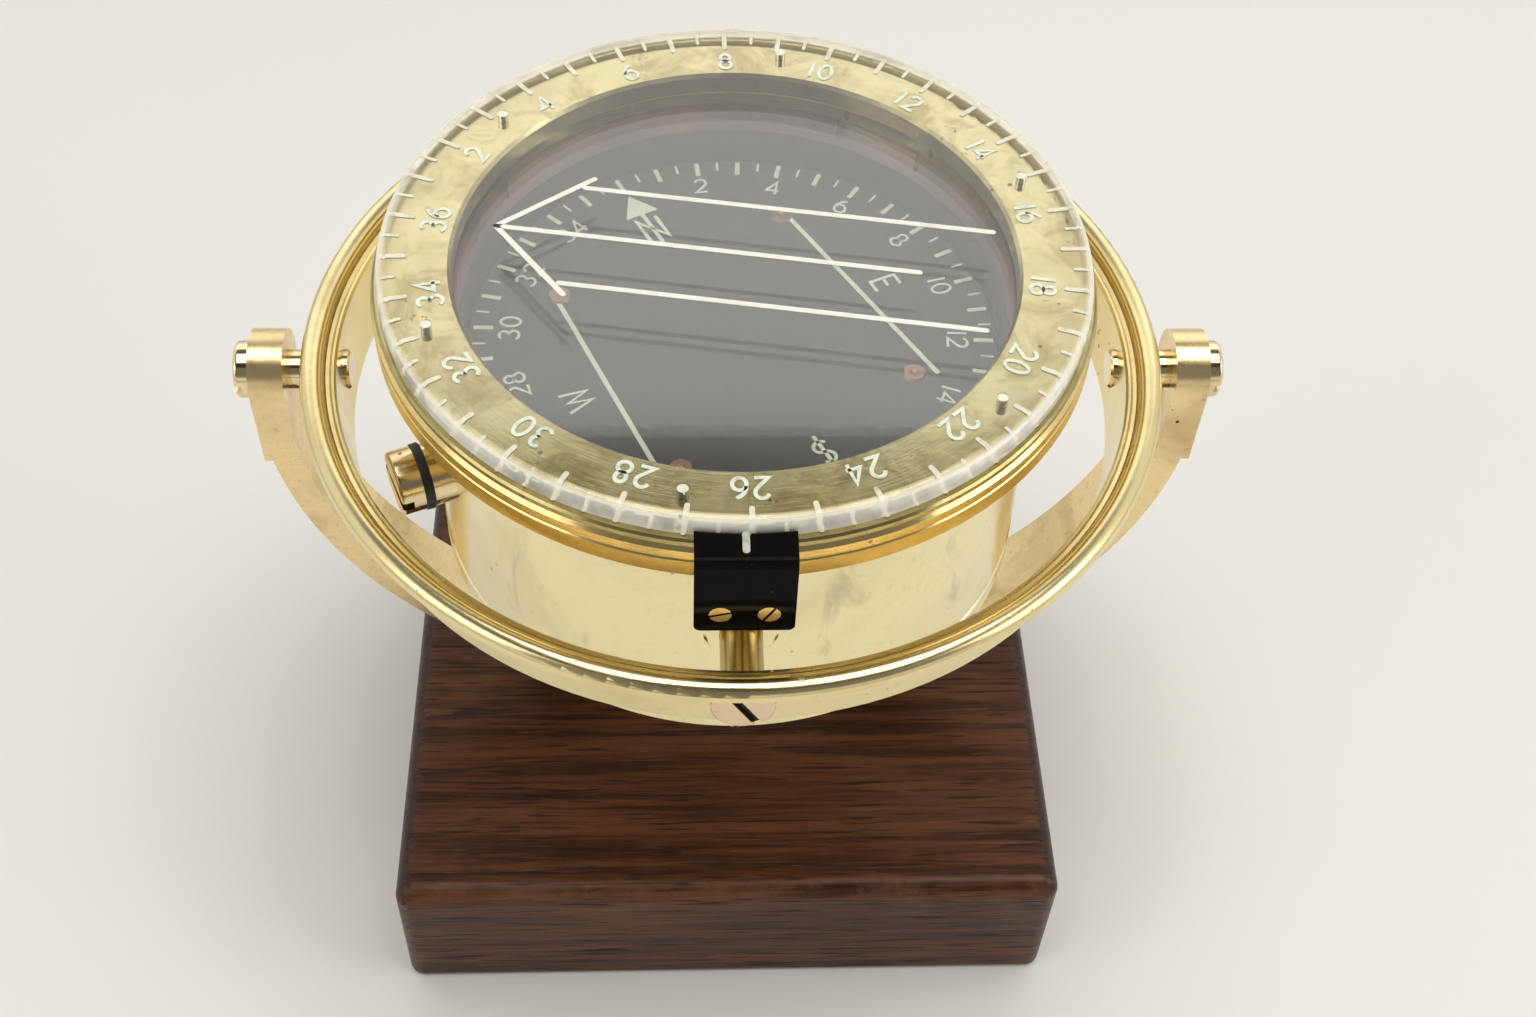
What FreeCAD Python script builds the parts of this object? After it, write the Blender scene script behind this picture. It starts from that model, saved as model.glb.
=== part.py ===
import FreeCAD, Part
import math
import os

# Gimballed grid steering compass on a wooden block.
# Millimetres, +Z up. Origin: centre of the block's underside.
# X runs along the outer gimbal axis, -Y is the front, where the index bracket is.
# Heights inside the gimbals are given from the gimbal axes and lifted by AXIS_Z.

V = FreeCAD.Vector

# ---- clearances -------------------------------------------------------------
RUNNING_FIT = 0.06        # radial play of a pivot in its bearing
SEAT_FIT = 0.05           # radial play of a screw or an insert in its hole
HEAD_PLAY = 0.4           # radial play round a screw head in its spot face
GLASS_PLAY = 0.3          # radial play round the glass
TURNING_GAP = 0.2         # gap between the turning grid ring and the fixed bezel
SWING_GAP = 2.7           # ring's bore outside the sphere that the bowl swings in
BEDDING = 0.05            # film between the clear disc and its brass ring
END_GAP = 0.2             # blind hole beyond the end of its screw
PAST = 1.0                # how far a cutting tool runs past the face it opens
FAR = 60.0                # length of cutting tools that pass right through
NEAR = 0.01               # tolerance when edges are picked by their place
EDGE_BREAK = 0.4          # small flat that takes the sharpness off a turned edge

# ---- wooden base ------------------------------------------------------------
BASE_WIDTH = 173.0
BASE_DEPTH = 150.0
BASE_HEIGHT = 44.0
BASE_CORNER_RADIUS = 4.0
BASE_TOP_ROUND = 5.0
BASE_FOOT_ROUND = 2.0

# ---- bowl: radii --------------------------------------------------------------
BOWL_RADIUS = 71.0
BOWL_WALL = 3.5
RIM_OVERHANG = 10.0
GLASS_INSET = 2.8         # glass edge inside the bowl's outer wall
GLASS_LEDGE_WIDTH = 1.7
LINER_LEDGE_WIDTH = 1.1
RIM_RADIUS = BOWL_RADIUS + RIM_OVERHANG
GLASS_RADIUS = BOWL_RADIUS - GLASS_INSET
POCKET_RADIUS = GLASS_RADIUS + GLASS_PLAY
GLASS_LEDGE = GLASS_RADIUS - GLASS_LEDGE_WIDTH
LINER_LEDGE = GLASS_LEDGE - LINER_LEDGE_WIDTH
BOWL_BORE = BOWL_RADIUS - BOWL_WALL

# ---- bowl: heights ------------------------------------------------------------
BOWL_BOTTOM = -38.3
RIM_BOTTOM = 24.4
POCKET_WEB = 0.6          # rim left under the glass pocket
GLASS_THICKNESS = 3.0
LOWER_GASKET = 1.0
UPPER_GASKET = 0.4
LINER_SEAT_DROP = 4.7
LINER_LEDGE_DEPTH = 2.5
BOWL_FLOOR_RISE = 14.3    # floor's upper face above the bowl's lower end
BOWL_FLOOR = 3.0
SHELF_DEPTH = 2.0
RIM_THICKNESS = POCKET_WEB + LOWER_GASKET + GLASS_THICKNESS + UPPER_GASKET
RIM_TOP = RIM_BOTTOM + RIM_THICKNESS
GLASS_TOP = RIM_TOP - UPPER_GASKET
GLASS_BOTTOM = GLASS_TOP - GLASS_THICKNESS
POCKET_FLOOR = GLASS_BOTTOM - LOWER_GASKET
LINER_SEAT = POCKET_FLOOR - LINER_SEAT_DROP
BOWL_FLOOR_TOP = BOWL_BOTTOM + BOWL_FLOOR_RISE
FLOOR_BOTTOM = BOWL_FLOOR_TOP - BOWL_FLOOR
VENT_RADIUS = 4.0
VENT_CIRCLE = BOWL_BORE - 27.5

# ---- bezel, grid ring and clear grid disc -----------------------------------
BEZEL_THICKNESS = 3.6
BEZEL_LIP = 1.8
VERGE_INSET = 8.0         # grid ring's bore inside the bowl's outer wall
VERGE_THICKNESS = 1.7
VERGE_EDGE = 0.5
VERGE_BORE_EDGE = 0.8
SPIGOT_WALL = 1.8
SPRING_SECTION = 0.8
SPRING_REACH = 0.9        # how far the spring ring stands out under the bezel's lip
SPRING_SPLIT = 6.0        # opening of the split spring ring
SPRING_DEPTH = 0.9        # depth of its groove in the spigot
DISC_INSET = 1.1
DISC_THICKNESS = 5.15
DISC_ROUND = 2.4
DISC_LOWER_CHAMFER = 0.8
GRID_SCREW_RADIUS = 1.2
GRID_SCREW_HEAD = 2.3
GRID_SCREW_REACH = 3.6
BEZEL_SCREW_RADIUS = 1.3
BEZEL_SCREW_HEAD = 2.6
BEZEL_SCREW_REACH = 4.0
SCREWS_PER_RING = 6
FIRST_SCREW = 30.0        # angle of the first bezel or cover screw from +X
BEZEL_EDGE = 0.9          # flat on the bezel's upper edge
RIM_LOWER_EDGE = 0.5
GRADUATION_AT_FRONT = 260.0
BEZEL_RADIUS = RIM_RADIUS
VERGE_RADIUS = BEZEL_RADIUS - 0.6
VERGE_BORE = BOWL_RADIUS - VERGE_INSET
DISC_RADIUS = VERGE_RADIUS - DISC_INSET
GRID_SCREW_CIRCLE = VERGE_BORE + 7.7
BEZEL_SCREW_CIRCLE = POCKET_RADIUS + 6.7
BEZEL_TOP = RIM_TOP + BEZEL_THICKNESS
VERGE_BOTTOM = BEZEL_TOP + TURNING_GAP
VERGE_TOP = VERGE_BOTTOM + VERGE_THICKNESS
DISC_BOTTOM = VERGE_TOP + BEDDING
DISC_TOP = DISC_BOTTOM + DISC_THICKNESS
SPIGOT_OUTER = VERGE_BORE + SPIGOT_WALL
BEZEL_BORE = SPIGOT_OUTER + RUNNING_FIT
BEZEL_LIP_BOTTOM = BEZEL_TOP - BEZEL_LIP
SPRING_TOP = BEZEL_LIP_BOTTOM - TURNING_GAP
SPIGOT_BOTTOM = SPRING_TOP - SPRING_SECTION - 0.4
RECESS_RADIUS = SPIGOT_OUTER + SPRING_REACH + 0.6
BEZEL_SCREW_LENGTH = BEZEL_THICKNESS + BEZEL_SCREW_REACH

# ---- gimbal ring ------------------------------------------------------------
RING_TAPER = 2.1          # bore narrows by this much from top to bottom
RING_TOP = 8.4
RING_BOTTOM = -8.6
RING_WALL = 3.3
RING_LEDGE = 2.6
BEAD_WIDTH = 5.4
BEAD_RISE = 3.0
BEAD_CROWN = 1.2          # outer end of the bead's arc above the ledge
RING_LIP = 1.6            # depth of the bead's outer edge
GROOVE = 0.45             # depth of the two fine grooves on the ring's ledge
GROOVE_HALF = 0.25        # half-width of the inner groove
LEDGE_GROOVE = 1.0        # inner groove from the bore
BEAD_GROOVE = 0.3         # width of the groove at the foot of the bead
LEDGE_RISE = 0.1          # ledge's rise towards the bead, and the bead's lean inward
RING_EDGE = 0.5           # flat on the bore's upper edge
RING_EDGE_DROP = 0.7
BEAD_ROOT_DROP = 3.04     # and how far below the ledge
BEAD_ROOT = 0.4           # where the outer wall meets the bead, outside its foot
SWING_RADIUS = math.hypot(DISC_RADIUS, DISC_TOP)
RING_BORE_TOP = math.ceil(10 * (SWING_RADIUS + SWING_GAP)) / 10   # to the next tenth
RING_BORE_BOTTOM = RING_BORE_TOP - RING_TAPER
BEAD_INNER = RING_BORE_TOP + RING_LEDGE
BEAD_OUTER = BEAD_INNER + BEAD_WIDTH

# ---- gimbal pivots ----------------------------------------------------------
PIVOT_RADIUS = 4.6
PIVOT_SLOT = 1.9
PIVOT_HEAD_ROUND = 0.28   # rounding of a pivot head, as a share of its height
PIVOT_SLOT_FLOOR = 0.55   # height of its slot's floor, as a share of its height
PIVOT_END_CHAMFER = 0.5
TRUNNION_SLOT_ANGLE = 90.0
BOWL_PIVOT_SLOT_ANGLE = 30.0
SMALL_SLOT = 0.6          # width of a countersunk screw's slot
SMALL_SLOT_SHARE = 0.45   # its depth, as a share of the countersunk head
TRUNNION_HEAD_STEP = 2.2
TRUNNION_HEAD_HEIGHT = 4.0
TRUNNION_END_GAP = 0.65   # trunnion's inner end outside the bowl's swing
BOWL_PIVOT_HEAD_STEP = 2.1
BOWL_PIVOT_HEAD_HEIGHT = 2.4
BOWL_PIVOT_SEAT = 0.5     # depth of the spot face in the ring's wall
TRUNNION_HEAD_RADIUS = PIVOT_RADIUS + TRUNNION_HEAD_STEP
BOWL_PIVOT_HEAD_RADIUS = PIVOT_RADIUS + BOWL_PIVOT_HEAD_STEP

# ---- yoke -------------------------------------------------------------------
RING_SIDE_GAP = 4.4       # between the ring's bead and the ears
STRAP_THICKNESS = 7.0
STRAP_WIDTH = 19.2
STRAP_DROP = 7.0          # centre of the strap's arc below the outer gimbal axis
EAR_PROUD = 1.0           # ear face outside the strap's outer radius
EAR_DEPTH = 22.0          # how far the ear's flat face reaches below the axis
FOOT_LENGTH = 56.0
FOOT_SCREW_SPACING = 38.0
FOOT_SCREW_HEAD = 4.0
FOOT_SCREW_HEAD_HEIGHT = 2.6
FOOT_SCREW_SHANK = 2.0
FOOT_SCREW_LENGTH = 30.0
FOOT_SCREW_SLOT = 1.0
FOOT_SCREW_END_GAP = 0.5
STRAP_INNER = BEAD_OUTER + RING_SIDE_GAP
STRAP_OUTER = STRAP_INNER + STRAP_THICKNESS
EAR_FACE = STRAP_OUTER + EAR_PROUD
AXIS_Z = BASE_HEIGHT + STRAP_OUTER + STRAP_DROP

# ---- card and its well ------------------------------------------------------
LINER_SLOPE_WIDTH = 3.2
LINER_SLOPE_DROP = 3.5
LINER_SHEET = 1.0
CARD_EDGE_GAP = 1.0
CARD_DROP = 8.9           # card's face below the lower edge of the dish's slope
CARD_THICKNESS = 0.8
CARD_HEADING = 118.0      # direction of the card's north, anticlockwise from +X
POST_HEIGHT = 16.6        # card's underside above the dish's floor
MAGNET_OFFSET = 30.3
MAGNET_LENGTH = 68.0
MAGNET_SECTION = 3.6
EYELET_RADIUS = 2.8
EYELET_FLANGE = 0.5
EYELET_SHANK = 1.1
EYELET_TAPER = 0.4
DIMPLE_RADIUS = 1.6
DIMPLE_RISE = 1.2         # centre of the dimple's sphere above the eyelet's flange
FLOAT_RADIUS = 20.0
FLOAT_DEPTH = 6.4
FLOAT_SHEET = 0.5
FLOAT_CHAMFER = 4.0
HUB_WALL = 1.35
HUB_DEPTH = 5.6
JEWEL_RADIUS = 3.0
JEWEL_HEIGHT = 3.2
JEWEL_CONE = 1.9
JEWEL_SEAT = 0.4          # radius of the flat at the bottom of the jewel's cone
POST_RADIUS = 2.2
POST_FLANGE = 7.0
POST_FLANGE_HEIGHT = 1.6
POST_FLANGE_EDGE = 0.6
POST_TIP = 0.25
POST_NECK = 1.0           # post's radius where its point starts
POST_POINT = 4.1          # length of the point
POST_SHOULDER = 7.1       # tip to the full width of the post
POST_TIP_GAP = 0.15       # below the jewel's seat, which the point really touches
LUBBER_RADIUS = 0.5
LUBBER_ROOT = 0.6         # depth of a pin in the dish's slope
LUBBER_INSET = 1.6
LUBBER_ANGLES = (45.0, 65.0, 147.0)
LINER_RADIUS = LINER_LEDGE - LINER_SLOPE_WIDTH
LINER_EDGE = LINER_SEAT - LINER_SLOPE_DROP
CARD_RADIUS = LINER_RADIUS - CARD_EDGE_GAP
CARD_TOP = LINER_EDGE - CARD_DROP
CARD_BOTTOM = CARD_TOP - CARD_THICKNESS
LINER_FLOOR = CARD_BOTTOM - POST_HEIGHT
LUBBER_CIRCLE = LINER_RADIUS + LUBBER_INSET
HUB_RADIUS = JEWEL_RADIUS + SEAT_FIT + HUB_WALL

# ---- lower bowl -------------------------------------------------------------
COVER_PROUD = 0.3
COVER_HEIGHT = 7.0
COVER_FLOOR = 2.5
COVER_WALL = 6.0
COVER_SPIGOT = 2.2
COVER_SCREW_HEAD = 2.1
COVER_SCREW_RADIUS = 1.2
COVER_SCREW_LENGTH = 15.0
COVER_EDGE = 1.2
BALLAST_INNER = 20.0
BALLAST_SIDE_GAP = 3.3
BALLAST_HEIGHT = 4.0
DIAPHRAGM_SHEET = 0.6
DIAPHRAGM_RIM = 5.0
DIAPHRAGM_WAVES = 4
DIAPHRAGM_WAVE_HEIGHT = 1.2
CLAMP_HEIGHT = 3.0
CLAMP_WIDTH = 4.6
COVER_RADIUS = BOWL_RADIUS + COVER_PROUD
COVER_BORE = COVER_RADIUS - COVER_WALL
COVER_SCREW_CIRCLE = BOWL_RADIUS - 0.6 * BOWL_WALL
COVER_BOTTOM = BOWL_BOTTOM - COVER_HEIGHT
BALLAST_OUTER = COVER_BORE - BALLAST_SIDE_GAP

# ---- pivot bosses, filler and index bracket ---------------------------------
BOSS_WALL = 3.4
BOSS_HEIGHT = 6.5
BOSS_CHAMFER = 0.8
PIVOT_END_HEIGHT = 2.0    # pivot's inner end above the bowl's wall
FILLER_ANGLE = 202.0
FILLER_HEIGHT = -5.0
FILLER_BOSS_RADIUS = 7.4
FILLER_BOSS_HEIGHT = 4.8
FILLER_WASHER_RADIUS = 7.8
FILLER_WASHER = 2.3
FILLER_HEAD_RADIUS = 7.5
FILLER_HEAD = 5.4
FILLER_SLOT_WIDTH = 2.4
FILLER_SLOT_DEPTH = 2.6
FILLER_SHANK = 3.4
FILLER_EDGE_ROUND = 0.8
FILLER_SLOT_ANGLE = 20.0
WASHER_ROUND = 0.5
BRACKET_WIDTH = 20.4
BRACKET_SHEET = 2.0
BRACKET_PROUD = 6.3       # bracket's front face outside the rim
BRACKET_HEIGHT = 21.8
BRACKET_RISE = 2.6        # bracket's top above the brass grid ring
BRACKET_CORNER = 1.5
BRACKET_GAP = 0.5         # between the bracket's curved edge and the grid disc
NOTCH_WIDTH = 2.0
NOTCH_DEPTH = 0.6
NOTCH_LENGTH = 5.0
BRACKET_SCREW_SPACING = 9.8
BRACKET_SCREW_RISE = 5.3  # screws above the bracket's lower edge
BRACKET_SCREW_HEAD = 2.3
BRACKET_SCREW_RADIUS = 1.25
BRACKET_SCREW_LENGTH = 8.0
BRACKET_SCREW_SPINS = (15.0, 60.0)
BLOCK_WIDTH = 16.0
BLOCK_RISE = 0.4          # block's lower face above the bracket's lower edge
BOSS_RADIUS = PIVOT_RADIUS + BOSS_WALL
BOSS_FACE = BOWL_RADIUS + BOSS_HEIGHT
PIVOT_END = BOWL_RADIUS + PIVOT_END_HEIGHT
FILLER_BOSS_FACE = BOWL_RADIUS + FILLER_BOSS_HEIGHT
BRACKET_FACE = RIM_RADIUS + BRACKET_PROUD
BRACKET_TOP = VERGE_TOP + BRACKET_RISE
BRACKET_BOTTOM = BRACKET_TOP - BRACKET_HEIGHT
BRACKET_SCREW_HEIGHT = BRACKET_BOTTOM + BRACKET_SCREW_RISE


# ---- helpers ----------------------------------------------------------------
def save(name, shape):
    """Write one named sub-part, with any seam faces left by the cuts merged."""
    shape = shape.removeSplitter()
    if not shape.isValid():
        raise ValueError(name + " is not a valid solid")
    shape.exportStep("parts/" + name + ".step")


def revolve(points, lift=AXIS_Z):
    """Solid of revolution about the vertical axis from (radius, height) points."""
    corners = [V(radius, 0, height + lift) for radius, height in points]
    return revolve_edges(Part.makePolygon(corners + corners[:1]).Edges)


def revolve_edges(edges):
    face = Part.Face(Part.Wire(edges))
    return face.revolve(V(0, 0, 0), V(0, 0, 1), 360)


def tube(outer, inner, bottom, top):
    """Vertical ring between two heights measured from the gimbal axes."""
    body = Part.makeCylinder(outer, top - bottom, V(0, 0, AXIS_Z + bottom))
    if inner > 0:
        body = body.cut(Part.makeCylinder(inner, top - bottom, V(0, 0, AXIS_Z + bottom)))
    return body


def rod(radius, start, direction, length):
    return Part.makeCylinder(radius, length, start, direction)


def box(x_range, y_range, z_range):
    size = [high - low for low, high in (x_range, y_range, z_range)]
    return Part.makeBox(size[0], size[1], size[2], V(x_range[0], y_range[0], z_range[0]))


def turned(shape, degrees):
    """Copy turned about the vertical axis."""
    copy = shape.copy()
    copy.rotate(V(0, 0, 0), V(0, 0, 1), degrees)
    return copy


def on_circle(shape, count, first):
    """Copies of one shape evenly round the vertical axis."""
    return [turned(shape, first + 360.0 * index / count) for index in range(count)]


def cut_all(shape, tools):
    return shape.cut(Part.makeCompound(tools))


def level(height):
    return AXIS_Z + height


def slotted_pivot(head_radius, head_height, seat, end):
    """Pivot screw along +X: head outside the seat, plain shank in to the end."""
    head = rod(head_radius, V(seat, 0, AXIS_Z), V(1, 0, 0), head_height)
    rim = [edge for edge in head.Edges if edge.BoundBox.XMin > seat + head_height - NEAR
           and edge.BoundBox.YLength > head_radius]
    head = head.makeFillet(PIVOT_HEAD_ROUND * head_height, rim)
    slot = box((seat + PIVOT_SLOT_FLOOR * head_height, seat + head_height + PAST),
               (-PIVOT_SLOT / 2, PIVOT_SLOT / 2),
               (AXIS_Z - head_radius - PAST, AXIS_Z + head_radius + PAST))
    shank = rod(PIVOT_RADIUS, V(end, 0, AXIS_Z), V(1, 0, 0), seat - end)
    inner_edge = [edge for edge in shank.Edges if edge.BoundBox.XMax < end + NEAR]
    shank = shank.makeChamfer(PIVOT_END_CHAMFER, inner_edge)
    return head.cut(slot).fuse(shank)


def countersunk(head_radius, shank_radius, length):
    """Countersunk screw standing on its tip: head face at z = 0, shank down to -length."""
    depth = head_radius - shank_radius
    head = Part.makeCone(shank_radius, head_radius, depth, V(0, 0, -depth))
    shank = rod(shank_radius, V(0, 0, -length), V(0, 0, 1), length - depth)
    slot = box((-head_radius, head_radius), (-SMALL_SLOT / 2, SMALL_SLOT / 2),
               (-SMALL_SLOT_SHARE * depth, PAST))
    return head.fuse(shank).cut(slot)


def countersink(head_radius, shank_radius, length):
    """Hole for a countersunk screw, with seat clearance round the shank."""
    depth = head_radius - shank_radius
    cone = Part.makeCone(shank_radius, head_radius, depth, V(0, 0, -depth))
    hole = rod(shank_radius + SEAT_FIT, V(0, 0, -length), V(0, 0, 1), length)
    return cone.fuse(hole)


def placed(shape, base, direction, spin=0.0):
    """Copy with its +Z axis turned to a direction and its origin moved to base."""
    copy = shape.copy()
    turn = FreeCAD.Rotation(V(0, 0, 1), direction).multiply(FreeCAD.Rotation(V(0, 0, 1), spin))
    copy.Placement = FreeCAD.Placement(base, turn)
    return copy


# ---- root: base, yoke and trunnions ------------------------------------------
def foot_screw_places():
    half = FOOT_SCREW_SPACING / 2
    return [V(-half, 0, BASE_HEIGHT + STRAP_THICKNESS), V(half, 0, BASE_HEIGHT + STRAP_THICKNESS)]


def wooden_base():
    block = box((-BASE_WIDTH / 2, BASE_WIDTH / 2), (-BASE_DEPTH / 2, BASE_DEPTH / 2), (0, BASE_HEIGHT))
    upright = [edge for edge in block.Edges if edge.BoundBox.ZLength > BASE_HEIGHT / 2]
    block = block.makeFillet(BASE_CORNER_RADIUS, upright)
    top = [edge for edge in block.Edges if edge.BoundBox.ZMin > BASE_HEIGHT - NEAR]
    block = block.makeFillet(BASE_TOP_ROUND, top)
    foot = [edge for edge in block.Edges if edge.BoundBox.ZMax < NEAR]
    block = block.makeFillet(BASE_FOOT_ROUND, foot)
    depth = FOOT_SCREW_LENGTH - STRAP_THICKNESS
    holes = [rod(FOOT_SCREW_SHANK + SEAT_FIT, V(place.x, 0, BASE_HEIGHT - depth), V(0, 0, 1), depth)
             for place in foot_screw_places()]
    return cut_all(block, holes)


def yoke_ear(side):
    """Upper end of the strap: a flat-faced ear rounded about the trunnion."""
    half = STRAP_WIDTH / 2
    x_range = sorted((side * STRAP_INNER, side * EAR_FACE))
    cheek = box(x_range, (-half, half), (AXIS_Z - EAR_DEPTH, AXIS_Z))
    eye = rod(half, V(x_range[0], 0, AXIS_Z), V(1, 0, 0), x_range[1] - x_range[0])
    return cheek.fuse(eye)


def yoke():
    centre = V(0, -STRAP_WIDTH / 2, AXIS_Z - STRAP_DROP)
    hoop = Part.makeCylinder(STRAP_OUTER, STRAP_WIDTH, centre, V(0, 1, 0))
    below = box((-STRAP_OUTER - PAST, STRAP_OUTER + PAST), (-STRAP_WIDTH, STRAP_WIDTH),
                (0, AXIS_Z - STRAP_DROP))
    foot = box((-FOOT_LENGTH / 2, FOOT_LENGTH / 2), (-STRAP_WIDTH / 2, STRAP_WIDTH / 2),
               (BASE_HEIGHT, BASE_HEIGHT + STRAP_THICKNESS))
    body = hoop.common(below).fuse([foot, yoke_ear(1), yoke_ear(-1)])
    inside = Part.makeCylinder(STRAP_INNER, STRAP_WIDTH, centre, V(0, 1, 0))
    bore = rod(PIVOT_RADIUS + SEAT_FIT, V(-EAR_FACE - PAST, 0, AXIS_Z), V(1, 0, 0),
               2 * (EAR_FACE + PAST))
    tools = [inside.common(below), bore]
    for place in foot_screw_places():
        tools.append(rod(FOOT_SCREW_HEAD + HEAD_PLAY, place, V(0, 0, 1), STRAP_THICKNESS))
        tools.append(rod(FOOT_SCREW_SHANK + SEAT_FIT, V(place.x, 0, BASE_HEIGHT - PAST), V(0, 0, 1),
                         STRAP_THICKNESS + 2 * PAST))
    return cut_all(body, tools)


def yoke_foot_screws():
    screws = []
    for place in foot_screw_places():
        head = rod(FOOT_SCREW_HEAD, place, V(0, 0, 1), FOOT_SCREW_HEAD_HEIGHT)
        slot = box((place.x - FOOT_SCREW_SLOT / 2, place.x + FOOT_SCREW_SLOT / 2),
                   (-FOOT_SCREW_HEAD, FOOT_SCREW_HEAD),
                   (place.z + FOOT_SCREW_HEAD_HEIGHT / 2, place.z + FOOT_SCREW_HEAD_HEIGHT))
        length = FOOT_SCREW_LENGTH - FOOT_SCREW_END_GAP
        shank = rod(FOOT_SCREW_SHANK, V(place.x, 0, place.z - length), V(0, 0, 1), length)
        screws.append(head.cut(slot).fuse(shank))
    return Part.makeCompound(screws)


def ring_bore_at_axis():
    share = -RING_BOTTOM / (RING_TOP - RING_BOTTOM)
    return RING_BORE_BOTTOM + share * (RING_BORE_TOP - RING_BORE_BOTTOM)


def trunnion_screw(side):
    screw = slotted_pivot(TRUNNION_HEAD_RADIUS, TRUNNION_HEAD_HEIGHT, EAR_FACE,
                          SWING_RADIUS + TRUNNION_END_GAP)
    screw.rotate(V(0, 0, AXIS_Z), V(1, 0, 0), TRUNNION_SLOT_ANGLE)
    return screw if side > 0 else turned(screw, 180)


# ---- gimbal ring ---------------------------------------------------------------
def ring_seat():
    """Flat seat for a bowl pivot's head on the ring's outer wall."""
    return ring_bore_at_axis() + RING_WALL - BOWL_PIVOT_SEAT


def gimbal_ring():
    def at(radius, height):
        return V(radius, 0, level(height))
    groove = RING_BORE_TOP + LEDGE_GROOVE + GROOVE_HALF
    outline = [
        at(BEAD_OUTER, RING_TOP + BEAD_CROWN), at(BEAD_OUTER, RING_TOP + BEAD_CROWN - RING_LIP),
        at(BEAD_INNER + BEAD_ROOT, RING_TOP - BEAD_ROOT_DROP),
        at(RING_BORE_BOTTOM + RING_WALL, RING_BOTTOM), at(RING_BORE_BOTTOM, RING_BOTTOM),
        at(RING_BORE_TOP, RING_TOP - RING_EDGE_DROP), at(RING_BORE_TOP + RING_EDGE, RING_TOP),
        at(groove - GROOVE_HALF, RING_TOP), at(groove, RING_TOP - GROOVE),
        at(groove + GROOVE_HALF, RING_TOP),
        at(BEAD_INNER - BEAD_GROOVE, RING_TOP + LEDGE_RISE),
        at(BEAD_INNER - BEAD_GROOVE / 3, RING_TOP + LEDGE_RISE - GROOVE),
        at(BEAD_INNER, RING_TOP + BEAD_GROOVE)]
    crown = at((BEAD_INNER + BEAD_OUTER) / 2 - LEDGE_RISE, RING_TOP + BEAD_RISE)
    edges = [Part.makeLine(start, end) for start, end in zip(outline, outline[1:])]
    edges.append(Part.Arc(outline[-1], crown, outline[0]).toShape())
    ring = revolve_edges(edges)
    reach = BEAD_OUTER + PAST
    tools = []
    for quarter in range(4):
        fit = RUNNING_FIT if quarter % 2 == 0 else SEAT_FIT
        hole = rod(PIVOT_RADIUS + fit, V(BOWL_RADIUS, 0, AXIS_Z), V(1, 0, 0), reach - BOWL_RADIUS)
        tools.append(turned(hole, 90 * quarter))
    for quarter in (1, 3):
        spot = rod(BOWL_PIVOT_HEAD_RADIUS + HEAD_PLAY, V(ring_seat(), 0, AXIS_Z), V(1, 0, 0), FAR)
        tools.append(turned(spot, 90 * quarter))
    return cut_all(ring, tools)


def bowl_pivot_screw(angle):
    screw = slotted_pivot(BOWL_PIVOT_HEAD_RADIUS, BOWL_PIVOT_HEAD_HEIGHT, ring_seat(), PIVOT_END)
    screw.rotate(V(0, 0, AXIS_Z), V(1, 0, 0), BOWL_PIVOT_SLOT_ANGLE)
    return turned(screw, angle)


# ---- bowl ------------------------------------------------------------------------
def filler_axis():
    angle = math.radians(FILLER_ANGLE)
    return V(math.cos(angle), math.sin(angle), 0)


def from_filler(radius):
    return filler_axis() * radius + V(0, 0, level(FILLER_HEIGHT))


def bowl_shell():
    """Barrel of the bowl with the ledge that carries the dish and a vented floor."""
    ledge_bottom = LINER_SEAT - LINER_LEDGE_DEPTH
    shelf = BOWL_BORE - 0.7 * DIAPHRAGM_RIM
    shelf_bottom = FLOOR_BOTTOM - SHELF_DEPTH
    shell = revolve([
        (BOWL_RADIUS, BOWL_BOTTOM), (BOWL_RADIUS, RIM_BOTTOM), (GLASS_LEDGE, RIM_BOTTOM),
        (GLASS_LEDGE, LINER_SEAT), (LINER_LEDGE, LINER_SEAT), (LINER_LEDGE, ledge_bottom),
        (BOWL_BORE, ledge_bottom - 2.0), (BOWL_BORE, BOWL_FLOOR_TOP), (0, BOWL_FLOOR_TOP),
        (0, FLOOR_BOTTOM), (shelf, FLOOR_BOTTOM), (shelf, shelf_bottom), (BOWL_BORE, shelf_bottom),
        (BOWL_BORE, BOWL_BOTTOM)])
    vent = rod(VENT_RADIUS, V(VENT_CIRCLE, 0, level(FLOOR_BOTTOM) - PAST), V(0, 0, 1),
               BOWL_FLOOR + 2 * PAST)
    tools = on_circle(vent, 4, 45)
    tools.append(rod(FILLER_SHANK + SEAT_FIT, from_filler(BOWL_BORE - BOWL_WALL), filler_axis(),
                     3 * BOWL_WALL))
    cover_hole = rod(COVER_SCREW_RADIUS + SEAT_FIT, V(COVER_SCREW_CIRCLE, 0, level(BOWL_BOTTOM) - PAST),
                     V(0, 0, 1), COVER_SCREW_LENGTH - COVER_HEIGHT + END_GAP + PAST)
    tools += on_circle(cover_hole, SCREWS_PER_RING, FIRST_SCREW)
    return cut_all(shell, tools)


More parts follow.
